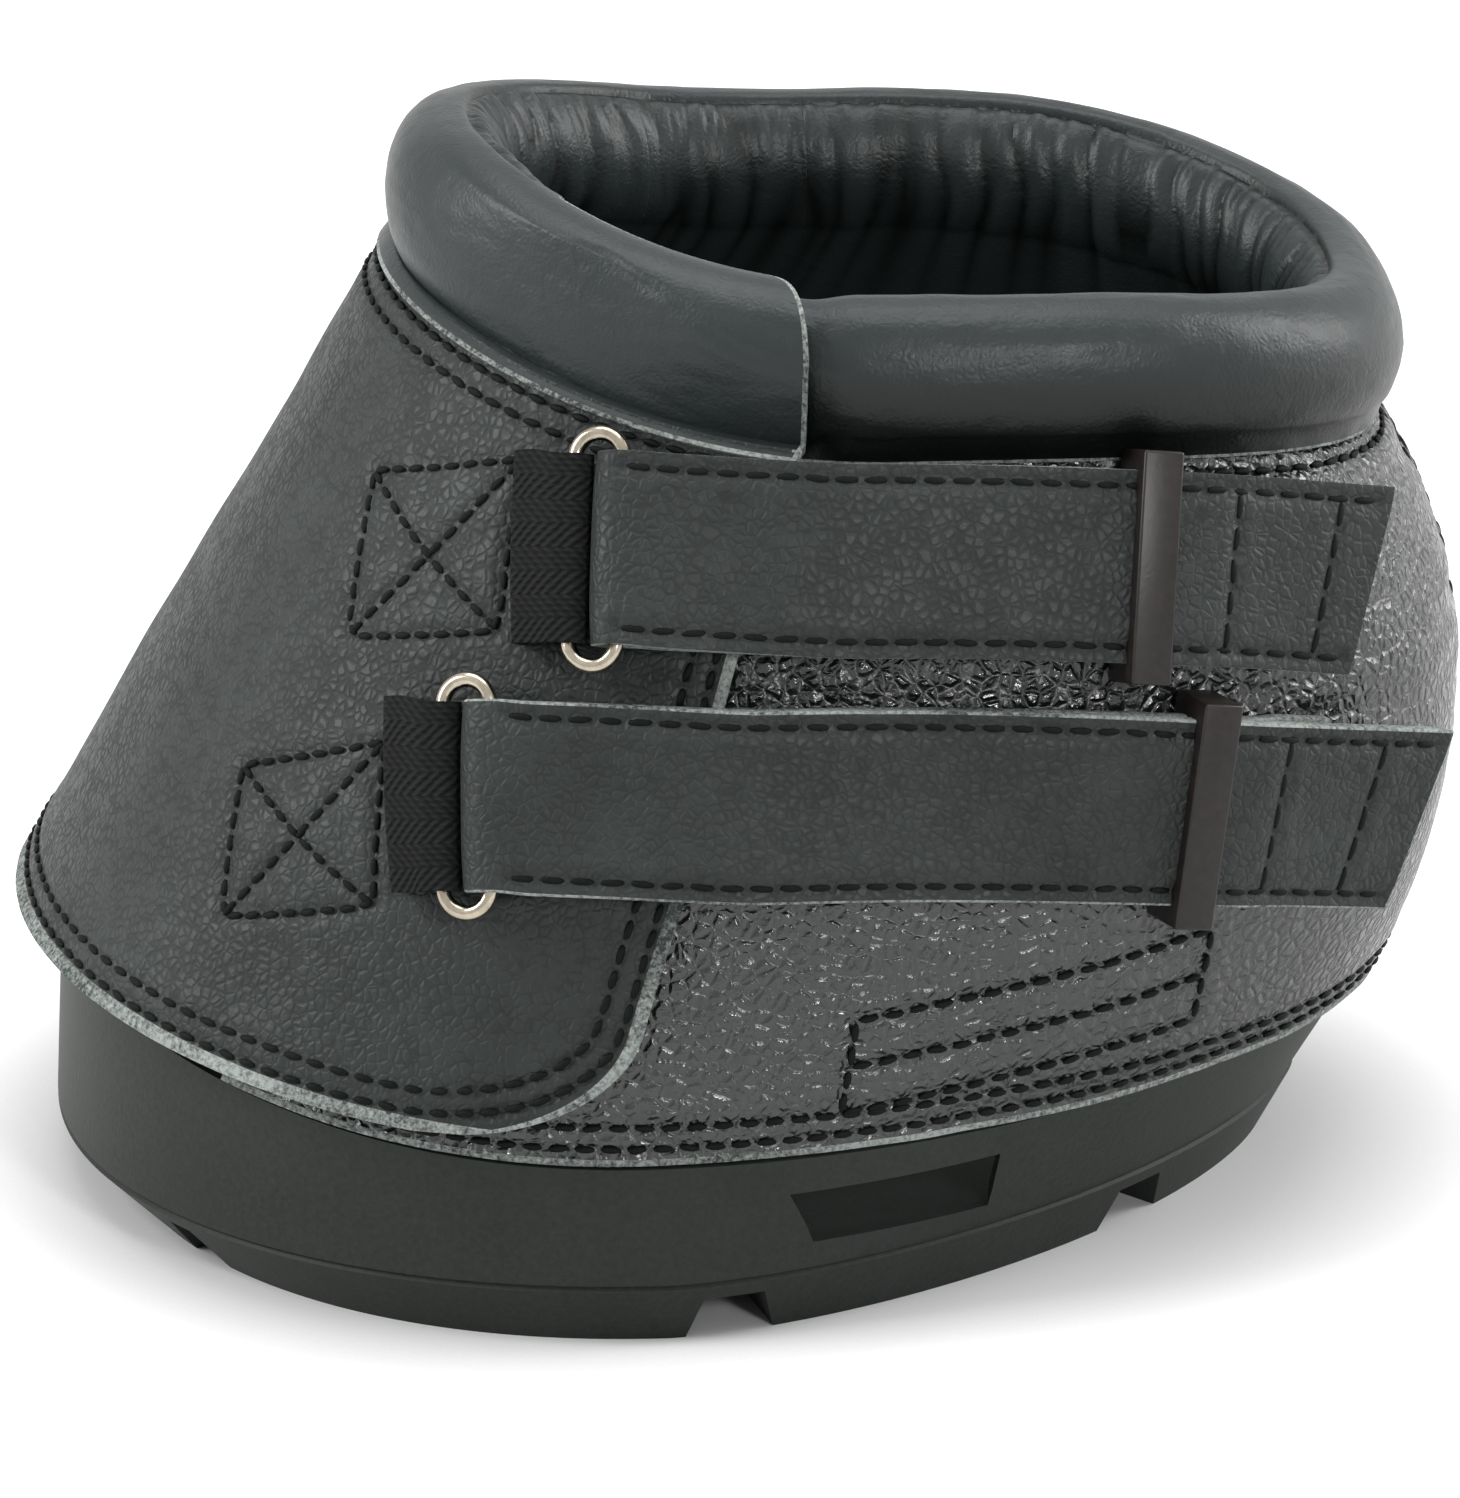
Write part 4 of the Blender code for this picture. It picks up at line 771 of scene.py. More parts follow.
def collar(name, columns, rows, start, end, section, foot, body, nodes, bend=None):
    pleats = []

    def place(along, up):
        last = end(up) if callable(end) else end
        turn = start + (last - start) * along
        gathered = section(turn, up)[2]
        low = roll["footRows"]
        high = 1 - (1 - roll["tuckRows"]) * gathered
        points, angle, gathered = section(turn, np.clip((up - low) / (high - low), 0.0, 1.0))
        mix = smooth((low - up) / low)[:, None]
        points = points * (1 - mix) + foot(turn, np.clip(up / low, 0, 1)) * mix
        closing = np.clip((up - high) / np.maximum(1 - high, 0.01), 0.0, 1.0)
        mix = (smooth(closing * 1.4) * gathered)[:, None]
        points = points * (1 - mix) + rearTuck(turn, closing) * mix
        pleats[:] = [rollRun(np.where(turn > 4.0, turn - 2 * halfTurn, turn)), angle,
                     np.maximum(gathered, smooth((75 - np.degrees(angle)) / 35)) * (1 - closing)
                     * smooth((up - low / 2) / low), turn]
        return points

    mesh = drape(name, columns, rows, place, (columns, rows))
    turn = pleats.pop()
    lift, fold = gathers(*pleats)
    degrees = np.degrees(pleats[1])
    overlap = smooth((turn - 0.75) / 0.2) * (body == "flap")
    wander = 3.0 * np.array([wave(t * 9.0, 0.5, 0.5) for t in turn])
    lift -= overlap * roll["creaseDepth"] * np.exp(-((degrees - creaseAngle(turn) + wander) / 5.0) ** 2)
    # painted shade on the rear roll's underside, darker the lower the leather lies; it joins the fold
    # attribute
    under = smooth((roll["shadeAngle"] - degrees) / 60.0) * (body == "boot") * (turn > 0)
    fold = np.maximum(fold, 0.9 * under)
    push(mesh, lift)
    mesh.attributes.new("fold", "FLOAT", "POINT").data.foreach_set("value", fold.astype(np.float32))
    item = finish(mesh, [nappaLeather, cutHideEdge], body, nodes, bend)
    onOverlap = body == "flap"
    rawEdges(mesh, (columns, rows), (0.0, 1.1 / columns * onOverlap, 0.6 / rows, 2.1 / rows * onOverlap))
    thicken(item, layers["collar"] + 0.2, softness=0.4)


behind, ahead = roll["bridge"]
collar("rearCollarRoll", 380, 96, roll["rearStart"], 2 * halfTurn + behind, rearSection, rearFoot,
       "boot", ["rear_collar_cover", "rear_collar_foam"])
collar("frontCollarRoll", 240, 96, ahead, overlapEnd, frontSection, frontFoot, "flap",
       ["front_collar_cover", "front_collar_foam"])
bridgeEnds = [tuple(rollPoint(np.array([turn]), np.array([1.5]), np.zeros(1))[0]) for turn in (behind, ahead)]
bridgeEnds[1] = (bridgeEnds[1][0], bridgeEnds[0][1], bridgeEnds[0][2])
collar("collarHingeBridge", 60, 96, behind, ahead, rearSection, rearFoot, "boot", (),
       ("flap", bridgeEnds[0], bridgeEnds[1]))
print("collar made")


# Outsole
sole = {"toe": 86.0, "heel": 69.0, "half": 67.0, "widest": -14.0, "fullness": 1.5, "groundToe": 78.0,
        "groundHeel": 65.0, "groundHalf": 64.5, "footRise": 7.5, "floorRise": 9.5, "wall": 6.0,
        "flange": 2.4, "flangeShare": 0.115, "flangeGap": 0.5, "proud": 0.6, "endInset": 2.6, "columns": 240}
drainSlot = {"station": 13.0, "length": 22.5, "height": 5.8, "slope": 3.0, "rise": 14.5, "draft": 3.4}
treadCuts = {"depth": 5.5, "width": 7.5, "flare": 3.5, "ring": 22.0, "pocket": 4.2, "pad": 25.0,
             "turns": ((0.60, 0.5), (1.744, 1.0), (2.49, 1.0))}


def solePlan(turn, inset, rise, ground=False):
    key = ("groundToe", "groundHeel", "groundHalf") if ground else ("toe", "heel", "half")
    x, y = egg(turn, *(sole[k] - inset for k in key), sole["widest"], sole["fullness"])
    return np.stack([x, y, np.full(np.shape(x), rise)], -1) * mm


def wallTop(turn, lift):
    place = skin(turn, 0.0, lift)
    place[..., 2] -= layers["seat"] * mm
    return place


def soleRings():                        # (place round the plan, rows up to the next ring)
    under = -layers["quarter"] - sole["flangeGap"]
    foot = sole["footRise"]
    return [(lambda t: solePlan(t, 0.0, 0.0, True), 6),
            (lambda t: solePlan(t, 0.1, foot - 0.4), 1),
            (lambda t: solePlan(t, 0.5, foot), 1),
            (lambda t: solePlan(t, 0.1, foot + 0.4), 12),
            (lambda t: wallTop(t, sole["proud"] - sole["endInset"] * np.cos(t) ** 2), 2),
            (lambda t: wallTop(t, under), 4),
            (lambda t: skin(t, sole["flangeShare"], under), 2),
            (lambda t: skin(t, sole["flangeShare"], under - sole["flange"]), 4),
            (lambda t: skin(t, 0.0, under - sole["flange"]), 6),
            (lambda t: solePlan(t, sole["wall"], sole["floorRise"]), 0)]


def solePlace(along, up):
    rings = soleRings()
    marks = np.cumsum([0] + [rows for _, rows in rings[:-1]])
    turn = along * 2 * halfTurn
    level = up * marks[-1]
    points = np.zeros(turn.shape + (3,))
    for index in range(len(rings) - 1):
        share = (level - marks[index]) / (marks[index + 1] - marks[index])
        inside = (share > -1e-6) & (share <= 1 + 1e-6)
        part = rings[index][0](turn) * (1 - share)[:, None] + rings[index + 1][0](turn) * share[:, None]
        points[inside] = part[inside]
    return points


def prism(name, lower, upper):          # closed cutter from two matching outlines
    shape = bmesh.new()
    loops = []
    for outline in (lower, upper):
        verts = [shape.verts.new(point) for point in outline]
        loops.append([shape.edges.new((a, b)) for a, b in zip(verts, verts[1:] + verts[:1])])
        shape.faces.new(verts)
    bmesh.ops.bridge_loops(shape, edges=loops[0] + loops[1])
    bmesh.ops.recalc_face_normals(shape, faces=shape.faces)
    return newObject(name, asMesh(shape, name))


def soleCutters():
    cutters = []
    for sign in (1, -1):
        half, slope = drainSlot["length"] / 2, drainSlot["slope"]
        low = drainSlot["rise"] - drainSlot["height"] / 2
        corners = ((-half + slope, low), (half - slope / 2, low), (half, low + drainSlot["height"]),
                   (-half, low + drainSlot["height"]))
        outlines = []
        for reach, draft in ((44.5, -drainSlot["draft"]), (70.0, 0.4)):
            outlines.append([Vector((drainSlot["station"] + x + math.copysign(draft, x), sign * reach,
                                     z + math.copysign(draft / 3, z - drainSlot["rise"]))) * mm
                             for x, z in corners])
        cutters.append(prism("drainCutter", *outlines))
        for turn, share in treadCuts["turns"]:
            edge = solePlan(np.array([sign * turn, sign * turn + 0.001]), 0.0, 0.0, True)
            ahead = Vector(edge[1] - edge[0]).normalized()
            outward = Vector((ahead.y, -ahead.x, 0.0)) * sign
            half = treadCuts["width"] * share / 2
            foot = half + 0.75 * treadCuts["flare"]
            ends = []
            for reach in (-treadCuts["ring"] - 3.0, 9.0):
                middle = Vector(edge[0]) + outward * reach * mm
                ends.append([middle + ahead * x * mm + Vector((0, 0, z)) * mm for x, z in (
                    (-foot, -3.0), (foot, -3.0), (half, treadCuts["depth"]), (-half, treadCuts["depth"]))])
            cutters.append(prism("grooveCutter", *ends))
    for front in (True, False):
        turn = np.linspace(-halfTurn / 2, halfTurn / 2, 60) + (0 if front else halfTurn)
        edge = solePlan(turn, treadCuts["ring"], 0.0, True)
        edge = edge[(np.abs(edge[:, 0]) > treadCuts["pad"] * mm) & ((edge[:, 0] < 0) == front)]
        cutters.append(prism("pocketCutter", *([Vector((x, y, z * mm)) for x, y, _ in edge]
                                               for z in (-3.0, treadCuts["pocket"]))))
    return cutters


def makeOutsole():
    rows = sum(rows for _, rows in soleRings())
    mesh = drape("mouldedOutsole", sole["columns"], rows, solePlace, (460, 80))
    shape = bmesh.new()
    shape.from_mesh(mesh)
    bmesh.ops.remove_doubles(shape, verts=shape.verts, dist=1e-6)
    bmesh.ops.holes_fill(shape, edges=[e for e in shape.edges if e.is_boundary], sides=0)
    bmesh.ops.recalc_face_normals(shape, faces=shape.faces)
    shape.to_mesh(mesh)
    shape.free()
    blank = newObject("soleBlank", mesh)
    cutters = soleCutters()
    for cutter in cutters:
        cut = blank.modifiers.new(cutter.name, "BOOLEAN")
        cut.operation, cut.solver, cut.object = "DIFFERENCE", "EXACT", cutter
    bpy.context.view_layer.update()
    carved = bpy.data.meshes.new_from_object(blank.evaluated_get(bpy.context.evaluated_depsgraph_get()))
    carved.name = "mouldedOutsole"
    for leftover in [blank] + cutters:
        bpy.data.objects.remove(leftover)
    item = finish(carved, [mouldedRubber], "boot", ["outsole"], smoothAngle=32)
    soft = item.modifiers.new("moulded edges", "BEVEL")
    soft.width, soft.segments, soft.limit_method = 0.45 * mm, 2, "ANGLE"
    soft.angle_limit = math.radians(34)
    print("outsole faces", len(carved.polygons))


makeOutsole()


# Straps, rings, webbing and keepers
ringSize = {"length": 29.0, "width": 7.6, "wire": 1.8}
webbing = {"width": 22.0, "slit": 8.9}
keeper = {"length": 5.0, "bar": 1.5, "endBar": 1.9, "clearance": 0.5, "travel": 3.0}
strapWidth = 22.5
tipSlant = 5.0
strapSeams = {"inset": 1.9, "startShare": 0.075, "pitch": 3.5, "crossBacks": (10.5, 24.5)}
straps = {"upper": {"ringTurn": 1.095, "crown": 0.842, "frontDroop": 0.20, "rearDroop": 0.09,
                    "keeperReach": 64.0, "tipLength": 31.0},
          "lower": {"ringTurn": 1.075, "crown": 0.520, "frontDroop": 0.24, "rearDroop": 0.125,
                    "keeperReach": 86.0, "tipLength": 34.0}}
barReach = (ringSize["width"] - ringSize["wire"]) / 2
barFold = ringSize["wire"] / 2 + layers["seat"]
barLift = flapFace + layers["seat"] + layers["strap"] + barFold


def strapShare(strap, turn):
    droop = np.where(turn < 1.5, strap["frontDroop"], strap["rearDroop"])
    return strap["crown"] - droop * (turn - 1.5) ** 2


def measure(strap):
    turns = np.linspace(0.5, 2.9, 161)
    places = skin(turns, strapShare(strap, turns), 2 * layers["flap"])
    strap["turns"] = turns
    strap["runs"] = np.concatenate([[0.0], np.cumsum(np.linalg.norm(np.diff(places, axis=0), axis=1))]) / mm
    strap["ringRun"] = np.interp(strap["ringTurn"], turns, strap["runs"])
    strap["flapReach"] = np.interp(flapRear(strap["crown"]), turns, strap["runs"]) - strap["ringRun"]
    strap["straightFrom"] = strap["keeperReach"] + strap["tipLength"] * 0.45
    strap["ring"] = frameAt(strap, np.array([0.0]))


def frameAt(strap, along):
    turn = np.interp(strap["ringRun"] + along, strap["runs"], strap["turns"])
    share = strapShare(strap, turn)
    change = (strapShare(strap, turn + 0.001) - strapShare(strap, turn - 0.001)) / 0.002
    byTurn, byShare = slopes(turn, share)
    tangent = unit(byTurn + byShare * change[..., None])
    normal = unit(np.cross(byTurn, byShare))
    return {"origin": sidePoint(turn, share), "tangent": tangent, "normal": normal,
            "across": np.cross(normal, tangent), "turn": turn, "share": share,
            "byTurn": byTurn, "byShare": byShare}


def flatPoint(at, along, across, lift):
    along, across, lift = (np.asarray(x, float)[..., None] * mm for x in (along, across, lift))
    return at["origin"] + at["tangent"] * along + at["across"] * across + at["normal"] * lift


def nearRing(strap, along, across, lift, place):
    away = smooth((np.abs(along) - ringSize["width"] / 2) / (ringSize["width"] / 2))[..., None]
    return flatPoint(strap["ring"], along, across, lift) * (1 - away) + place * away


def webbingPoint(strap, along, across, lift):
    at = frameAt(strap, along)
    tt, ts, ss = (np.sum(a * b, -1) for a, b in ((at["byTurn"], at["byTurn"]), (at["byTurn"], at["byShare"]),
                                                  (at["byShare"], at["byShare"])))
    t, s = (np.sum(at["across"] * at[key], -1) for key in ("byTurn", "byShare"))
    area = tt * ss - ts ** 2
    turn = at["turn"] + across * mm * (t * ss - s * ts) / area
    share = at["share"] + across * mm * (s * tt - t * ts) / area
    return nearRing(strap, along, across, lift, skin(turn, share, lift))


def strapPoint(strap, along, across, lift):     # the tip's end is cut on a slant
    start = keeperEnd(strap) + 2 * layers["seat"]
    share = np.maximum((along - start) / (strap["keeperReach"] + strap["tipLength"] - start), 0.0)
    along = along + tipSlant * share * (across / strapWidth - 0.25)
    start = strap["straightFrom"]
    at = frameAt(strap, np.minimum(along, start))
    return nearRing(strap, along, across, lift, flatPoint(at, np.maximum(along - start, 0.0), across, lift))


def sewnPoint(strap, along, across, lift):
    return nearRing(strap, along, across, lift, flatPoint(frameAt(strap, along), 0.0 * along, across, lift))


def keeperEnd(strap):
    return strap["keeperReach"] + keeper["length"] / 2 + keeper["travel"]


def baseInner(strap, along):
    over, under = flapFace + layers["seat"], 2 * layers["seat"] + keeper["bar"]
    settled = over + (under - over) * smooth((along - strap["flapReach"] - layers["seat"]) / 28.0)
    return settled + (layers["seat"] - settled) * smooth((along - keeperEnd(strap)) / 6.5)


def outerInner(strap, along):
    last = keeperEnd(strap)
    overBase = baseInner(strap, np.minimum(along, last)) + layers["strap"] + layers["seat"]
    drop = (keeper["bar"] - layers["hook"]) * smooth((along - last) / (2 * keeper["length"]))
    overRing = barLift + barFold
    return overRing + (overBase - overRing) * smooth((along - barReach) / (2 * ringSize["width"])) - drop


def alongPath(path):                    # even walk along a path of (run, lift) pairs
    path = np.array(path)
    marks = np.concatenate([[0.0], np.cumsum(np.hypot(*np.diff(path, axis=0).T))])
    return lambda share: (np.interp(share * marks[-1], marks, path[:, 0]),
                          np.interp(share * marks[-1], marks, path[:, 1])), marks[-1]


def ribbon(name, strap, point, path, width, columns, rows):
    walk, length = alongPath(path)

    def place(along, up):
        run, lift = walk(along)
        return point(strap, run, (up - 0.5) * width, lift)
    return drape(name, columns, rows, place, (length, width)), place, walk, length


def edgeRow(place, width, inset, sign, start, end):      # a row along a ribbon's edge
    along = np.linspace(start, end, 90)
    return place(along, np.full(90, 0.5 + sign * (0.5 - inset / width)))


def makeStrap(key, strap):
    half = layers["strap"] / 2
    end = strap["keeperReach"] + strap["tipLength"] * 0.55
    sewnPath = [(a, baseInner(strap, a) + half) for a in np.linspace(end, barReach, 90)]
    mesh, _, _, _ = ribbon(key + "StrapSewnEnd", strap, sewnPoint, sewnPath, strapWidth, 110, 26)
    item = finish(mesh, [tumbledCowhide, cutHideEdge], key + "_strap")
    thicken(item, layers["strap"], 0.0)

    fold = barFold + half
    tipEnd = strap["keeperReach"] + strap["tipLength"]
    path = [(barReach - fold * math.sin(a), barLift - fold * math.cos(a))
            for a in np.linspace(0.0, halfTurn, 16)]
    path += [(a, outerInner(strap, a) + half) for a in np.linspace(2 * barReach, tipEnd, 110)]
    mesh, place, walk, length = ribbon(key + "StrapLeather", strap, strapPoint, path, strapWidth, 190, 40)
    inset = strapSeams["inset"]
    rows = [edgeRow(place, strapWidth, inset, sign, strapSeams["startShare"], 1 - inset / length)
            for sign in (1, -1)]
    marks = np.linspace(0, 1, 2000)
    past = 200                          # marks on the fold round the ring, where a run occurs twice
    for back in strapSeams["crossBacks"]:
        share = marks[past:][np.argmin(np.abs(walk(marks)[0][past:] - strap["keeperReach"] - back))]
        rows.append(place(np.full(40, share), np.linspace(inset / strapWidth, 1 - inset / strapWidth, 40)))
    across = np.abs(readUv(mesh)[:, 1] / mm / strapWidth - 0.5) * 2
    push(mesh, half + 0.35 * (1 - across ** 4) + 0.16 * fuzz(readPoints(mesh), 14.0, 4.0))
    rows = [onto(mesh, row) for row in rows]
    dentRows(mesh, rows, strapSeams["pitch"], hole=0.34)
    peel = keeperEnd(strap) + 2 * layers["seat"]
    start = flatPoint(frameAt(strap, np.array([peel - 1.5])), 0.0, 0.0, 6.0)[0]
    finishAt = flatPoint(frameAt(strap, np.array([peel + 2.5])), 0.0, 0.0, 6.0)[0]
    bend = (key + "_tip", tuple(start), tuple(finishAt))
    item = finish(mesh, [tumbledCowhide, cutHideEdge], key + "_strap",
                  [key + "_strap", key + "_strap_tip"], bend)
    thicken(item, layers["strap"])
    sewBent(key + "StrapStitches", mesh, rows, strapSeams["pitch"], key + "_strap", bend, seed=5)

    padPath = [(a, outerInner(strap, a) - layers["seat"] - layers["hook"] / 2)
               for a in np.linspace(peel + keeper["length"], tipEnd - keeper["bar"], 20)]
    pad, _, _, _ = ribbon(key + "HookPad", strap, strapPoint, padPath, strapWidth - 2 * keeper["bar"], 40, 40)
    push(pad, 0.06 * fuzz(readPoints(pad), 1.2, 1.0))
    item = finish(pad, [hookAndLoop], key + "_tip", [key + "_hook_pad"])
    thicken(item, layers["hook"], 0.0, 0.2)


def readUv(mesh):                       # one texture place per vertex
    corners = np.empty(len(mesh.loops), np.int32)
    mesh.loops.foreach_get("vertex_index", corners)
    uv = np.empty(len(mesh.loops) * 2, np.float32)
    mesh.uv_layers["cloth"].data.foreach_get("uv", uv)
    perVertex = np.zeros((len(mesh.vertices), 2))
    perVertex[corners] = uv.reshape(-1, 2)
    return perVertex


def onto(mesh, row):                    # the row dropped onto the sheet's face
    tree = BVHTree.FromPolygons(readPoints(mesh).tolist(), [tuple(face.vertices) for face in mesh.polygons])
    return np.array([tuple(tree.find_nearest(Vector(point))[0]) for point in row])


def sewBent(name, mesh, rows, pitch, body, bend, seed):
    item = sew(name, mesh, rows, pitch, body, seed, thread["strapLift"])
    item.parent = None
    del item["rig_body"]
    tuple(bend[1])
    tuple(bend[2])
    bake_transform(item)


def makeWebbingLoop(key, strap):
    half = layers["webbing"] / 2
    fold = barFold + half
    under = closedLift - layers["seat"] - half
    pitch = layers["webbing"] + layers["seat"]
    frontLeg, rearLeg = -webbing["slit"] - pitch / 2, -webbing["slit"] + pitch / 2
    rise = flapFace + layers["seat"]
    sewn = np.linspace(-webbing["slit"] - webbing["width"], -webbing["slit"] - 2 * pitch, 12)
    path = [(a, under) for a in sewn]
    path += [(rearLeg - pitch, under), (rearLeg - half, under + half), (rearLeg, under + pitch),
             (rearLeg, rise), (rearLeg + pitch / 2, rise + pitch), (-barReach - fold / 2, barLift - fold)]
    path += [(-barReach + fold * math.sin(a), barLift - fold * math.cos(a))
             for a in np.linspace(0.0, halfTurn, 16)]
    path += [(-barReach - fold, barLift + fold), (frontLeg, rise + 2 * pitch + half),
             (frontLeg, rise + pitch), (frontLeg, under + 2 * pitch + half)]
    mesh, _, _, _ = ribbon(key + "Webbing", strap, webbingPoint, path, webbing["width"], 200, 60)
    item = finish(mesh, [herringboneWebbing], "flap", [key + "_webbing_loop"], smoothAngle=0)
    thicken(item, layers["webbing"], 0.0, 0.25)


def makeRing(key, strap):
    wire = ringSize["wire"] / 2
    run = ringSize["length"] / 2 - wire - barReach
    shape = bmesh.new()
    bmesh.ops.create_circle(shape, segments=16, radius=wire * mm,
                            matrix=Matrix.Translation(Vector((barReach, -run, 0)) * mm)
                            @ Matrix.Rotation(halfTurn / 2, 4, "X"))
    edges = shape.edges[:]
    for end in (1, -1):
        made = bmesh.ops.extrude_edge_only(shape, edges=edges)["geom"]
        verts = [g for g in made if isinstance(g, bmesh.types.BMVert)]
        bmesh.ops.translate(shape, verts=verts, vec=Vector((0, 2 * run * end, 0)) * mm)
        edges = [g for g in made if isinstance(g, bmesh.types.BMEdge)]
        spun = bmesh.ops.spin(shape, geom=edges, cent=Vector((0, run * end, 0)) * mm, axis=(0, 0, 1),
                              angle=halfTurn, steps=20)["geom_last"]
        edges = [g for g in spun if isinstance(g, bmesh.types.BMEdge)]
    bmesh.ops.remove_doubles(shape, verts=shape.verts, dist=0.01 * mm)
    bmesh.ops.recalc_face_normals(shape, faces=shape.faces)
    at = strap["ring"]
    place = Matrix((at["tangent"][0], at["across"][0], at["normal"][0])).transposed().to_4x4()
    place.translation = Vector(flatPoint(at, [0.0], [0.0], [barLift])[0])
    bmesh.ops.transform(shape, matrix=place, verts=shape.verts)
    finish(asMesh(shape, key + "NickelRing"), [nickelPlate], key + "_ring", [key + "_ring"],
           smoothAngle=0)


def makeKeeper(key, strap):
    along = np.array([strap["keeperReach"]])
    low, high = baseInner(strap, along)[0], outerInner(strap, along)[0] + layers["strap"]
    wide = strapWidth / 2 + keeper["clearance"]
    tall = (high - low) / 2 + keeper["clearance"]
    shape = bmesh.new()
    bmesh.ops.create_grid(shape, x_segments=1, y_segments=1, size=1.0)
    bmesh.ops.inset_region(shape, faces=shape.faces[:], thickness=0.2)
    opening = [f for f in shape.faces if len({v for v in f.verts if not v.is_boundary}) == 4]
    for vert in shape.verts:
        outer = vert.is_boundary
        vert.co.x = math.copysign((wide + (keeper["endBar"] if outer else 0)) * mm, vert.co.x)
        vert.co.y = math.copysign((tall + (keeper["bar"] if outer else 0)) * mm, vert.co.y)
    bmesh.ops.delete(shape, geom=opening, context="FACES_ONLY")
    made = bmesh.ops.extrude_face_region(shape, geom=shape.faces[:])["geom"]
    bmesh.ops.translate(shape, verts=[g for g in made if isinstance(g, bmesh.types.BMVert)],
                        vec=(0, 0, keeper["length"] * mm))
    bmesh.ops.translate(shape, verts=shape.verts, vec=(0, 0, -keeper["length"] / 2 * mm))
    bmesh.ops.recalc_face_normals(shape, faces=shape.faces)
    bmesh.ops.bevel(shape, geom=shape.edges[:], offset=0.35 * mm, offset_type="OFFSET", segments=3,
                    profile=0.5, affect="EDGES", material=-1)
    at = frameAt(strap, along)
    place = Matrix((at["across"][0], at["normal"][0], at["tangent"][0])).transposed().to_4x4()
    place.translation = Vector(flatPoint(at, [0.0], [0.0], [(low + high) / 2])[0])
    bmesh.ops.transform(shape, matrix=place, verts=shape.verts)
    bmesh.ops.recalc_face_normals(shape, faces=shape.faces)
    finish(asMesh(shape, key + "KeeperLoop"), [mouldedNylon], key + "_keeper",
           [key + "_keeper"], smoothAngle=0)


for key, strap in straps.items():
    measure(strap)
    makeRing(key, strap)
    makeWebbingLoop(key, strap)
    makeStrap(key, strap)
    makeKeeper(key, strap)
print("straps made")


# Floor, lights and camera
def whiteToViewers(tree, dim, bright):   # dim as a light, bright where the camera or a gloss sees it
    path = addNode(tree, "ShaderNodeLightPath")
    seen = addNode(tree, "ShaderNodeMath", {"operation": "MAXIMUM"},
                   {0: path.outputs["Is Camera Ray"], 1: path.outputs["Is Glossy Ray"]})
    seen = addNode(tree, "ShaderNodeMath", {"operation": "MAXIMUM"},
                   {0: seen.outputs[0], 1: path.outputs["Is Transmission Ray"]})
    return addNode(tree, "ShaderNodeMapRange", {"To Min": dim, "To Max": bright}, {"Value": seen.outputs[0]})


def makeStage():
    shape = bmesh.new()
    bmesh.ops.create_grid(shape, x_segments=1, y_segments=1, size=studio["floorReach"])
    mesh = asMesh(shape, "paleFloor")
    floor = newObject("paleFloor", mesh)
    material, tree, shader = newFinish("whiteBackdropPaper")     # matt white seamless paper
    shader.inputs["Base Color"].default_value = hexColour("#cccccc")
    shader.inputs["Roughness"].default_value = 0.9
    shader.inputs["Specular IOR Level"].default_value = 0.1
    shader.inputs["Emission Color"].default_value = (1.0, 1.0, 1.0, 1.0)
    # painted shadow: near the boot the floor's glow to the camera fades with the occlusion, darkest at the
    # sole
    nearby = addNode(tree, "ShaderNodeAmbientOcclusion", {"samples": 8, "Distance": studio["shadowReach"]})
    shade = addNode(tree, "ShaderNodeMath", {"operation": "POWER", 1: 2.0}, {0: nearby.outputs["AO"]})
    shadowedGlow = addNode(tree, "ShaderNodeMath", {"operation": "MULTIPLY"},
                  {0: whiteToViewers(tree, 0.0, studio["floorGlow"]).outputs["Result"], 1: shade.outputs[0]})
    place = addNode(tree, "ShaderNodeTexCoord").outputs["Object"]
    away = addNode(tree, "ShaderNodeVectorMath", {"operation": "LENGTH"}, {0: place}).outputs["Value"]
    near, distant = studio["whiteFrom"]      # past these the floor glows in full, as the lamps fall away
    far = addNode(tree, "ShaderNodeMapRange", {"From Min": near, "From Max": distant, "To Min": 1.0,
                                               "To Max": 1.0 / studio["floorGlow"]}, {"Value": away})
    glow = addNode(tree, "ShaderNodeMath", {"operation": "MULTIPLY"},
                   {0: shadowedGlow.outputs[0], 1: far.outputs["Result"]})
    tree.links.new(glow.outputs[0], shader.inputs["Emission Strength"])
    mesh.materials.append(material)


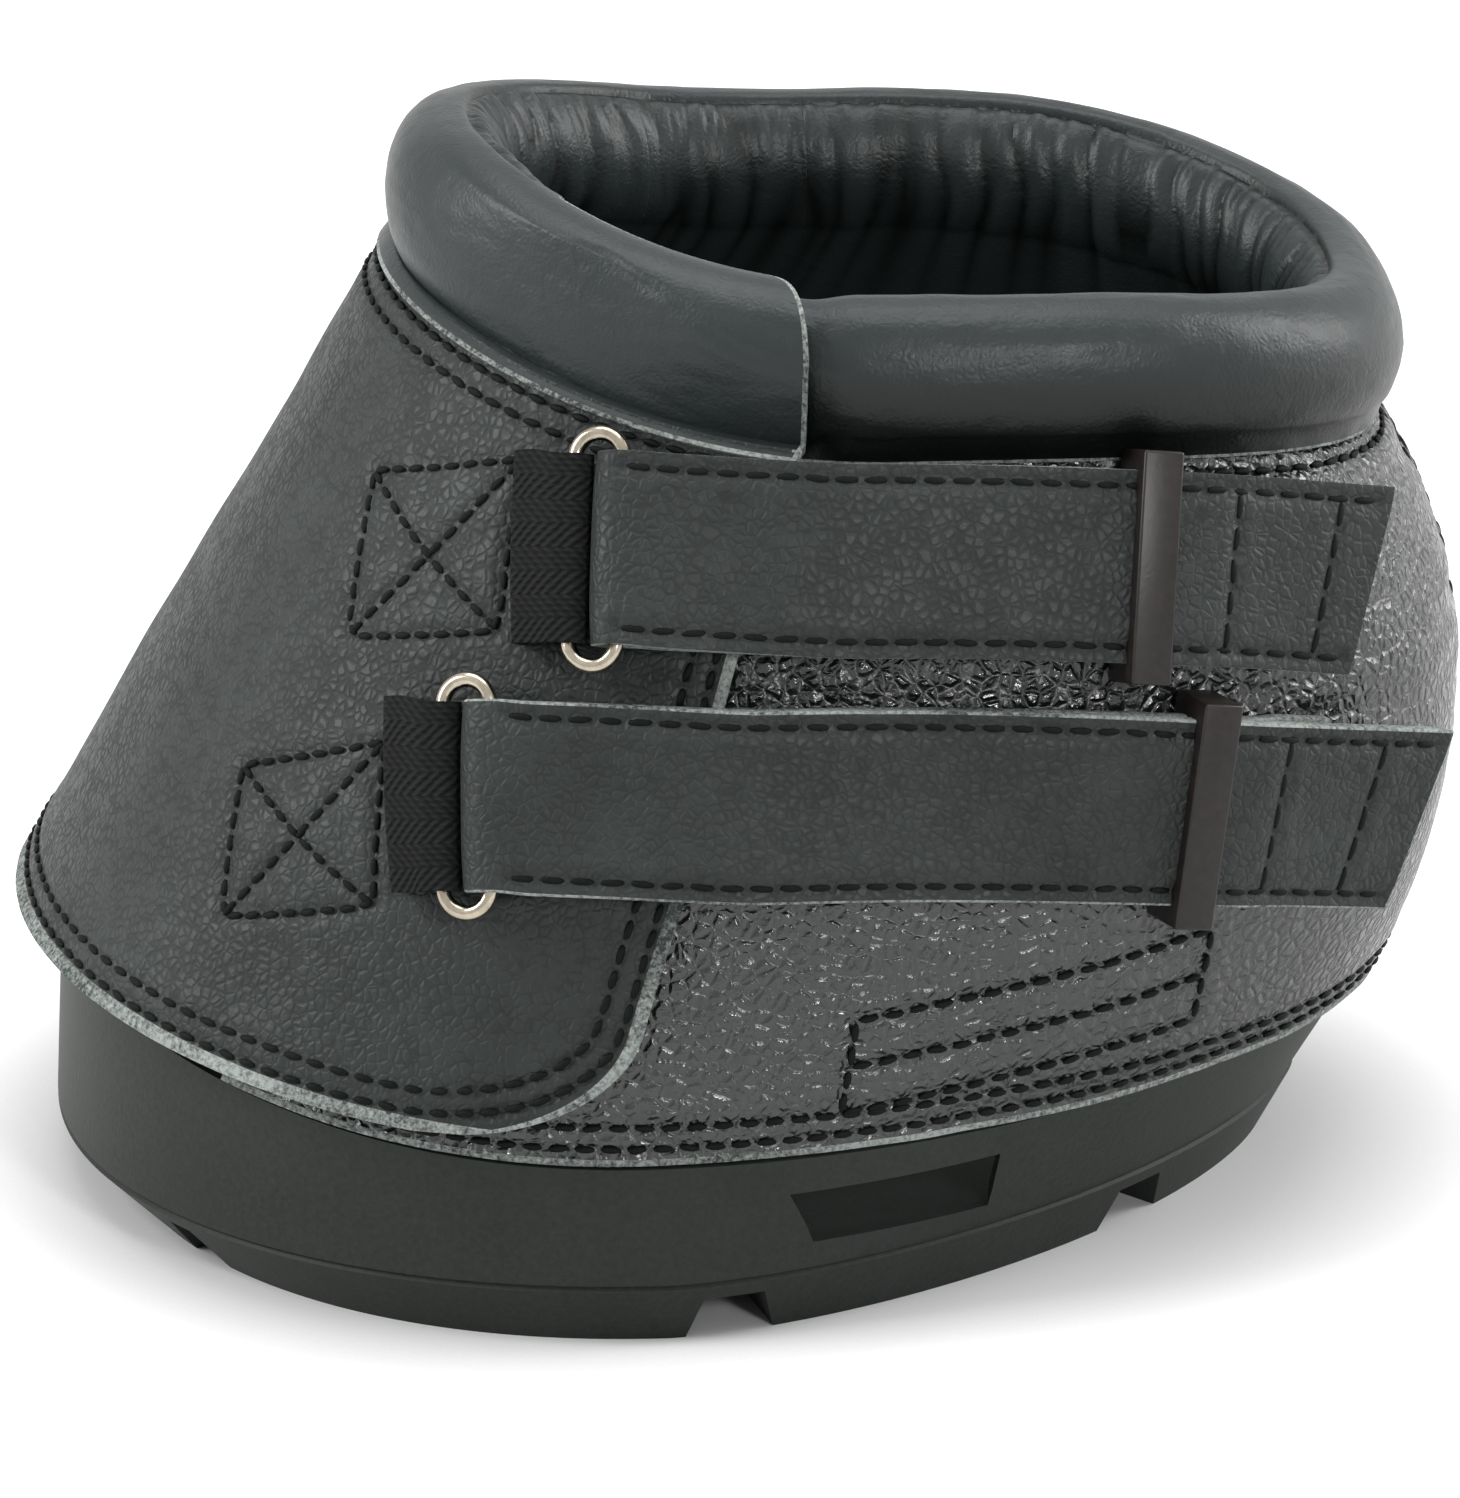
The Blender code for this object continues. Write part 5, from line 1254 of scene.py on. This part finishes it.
def makeLamp(name, place, target, size, power):
    lamp = bpy.data.lights.new(name, "AREA")
    lamp.shape, lamp.size, lamp.size_y = "RECTANGLE", size[0], size[1]
    lamp.energy = power
    item = newObject(name, lamp)
    item.location = place
    item.rotation_euler = (Vector(place) - Vector(target)).to_track_quat("Z", "Y").to_euler()


# The floor, the lamps and the room, in metres
studio = {"floorReach": 6.0, "floorGlow": 0.62, "shadowReach": 0.035, "whiteFrom": (0.35, 1.2),
          "room": 0.14, "seenRoom": 1.0}
softboxes = {"overhead": ((0.05, 0.10, 1.1), (0.9, 0.7), 8.0),        # place, size, watts
             "right": ((1.0, 0.15, 0.55), (0.4, 0.8), 10.0),
             "left": ((-1.0, -0.15, 0.65), (0.4, 0.8), 13.0),
             "front": ((0.42, -1.0, 0.52), (0.16, 0.20), 5.0)}
makeStage()
for name, (place, size, power) in softboxes.items():
    makeLamp(name + "Softbox", place, (0, 0, 0.06), size, power)
world = bpy.data.worlds.new("studioRoom")
bpy.context.scene.world = world
world.use_nodes = True
room = world.node_tree.nodes["Background"]
room.inputs["Color"].default_value = (1.0, 1.0, 1.0, 1.0)
glow = whiteToViewers(world.node_tree, studio["room"], studio["seenRoom"])
world.node_tree.links.new(glow.outputs["Result"], room.inputs["Strength"])

cameraSet = {"azimuth": -4.0, "elevation": 20.7, "distance": 1070.0, "target": (-2.0, 0.0, 50.0),
             "lens": 208.3}
azimuth, elevation = math.radians(cameraSet["azimuth"]), math.radians(cameraSet["elevation"])
back = Vector((math.sin(azimuth) * math.cos(elevation), -math.cos(azimuth) * math.cos(elevation),
               math.sin(elevation)))
view = bpy.data.cameras.new("productCamera")
view.lens, view.sensor_width, view.sensor_fit = cameraSet["lens"], 36.0, "AUTO"
view.clip_start, view.clip_end = 0.05, 20.0
camera = newObject("productCamera", view)
camera.location = (Vector(cameraSet["target"]) + back * cameraSet["distance"]) * mm
camera.rotation_euler = back.to_track_quat("Z", "Y").to_euler()
bpy.context.scene.camera = camera
bpy.context.scene.view_settings.view_transform = "Standard"
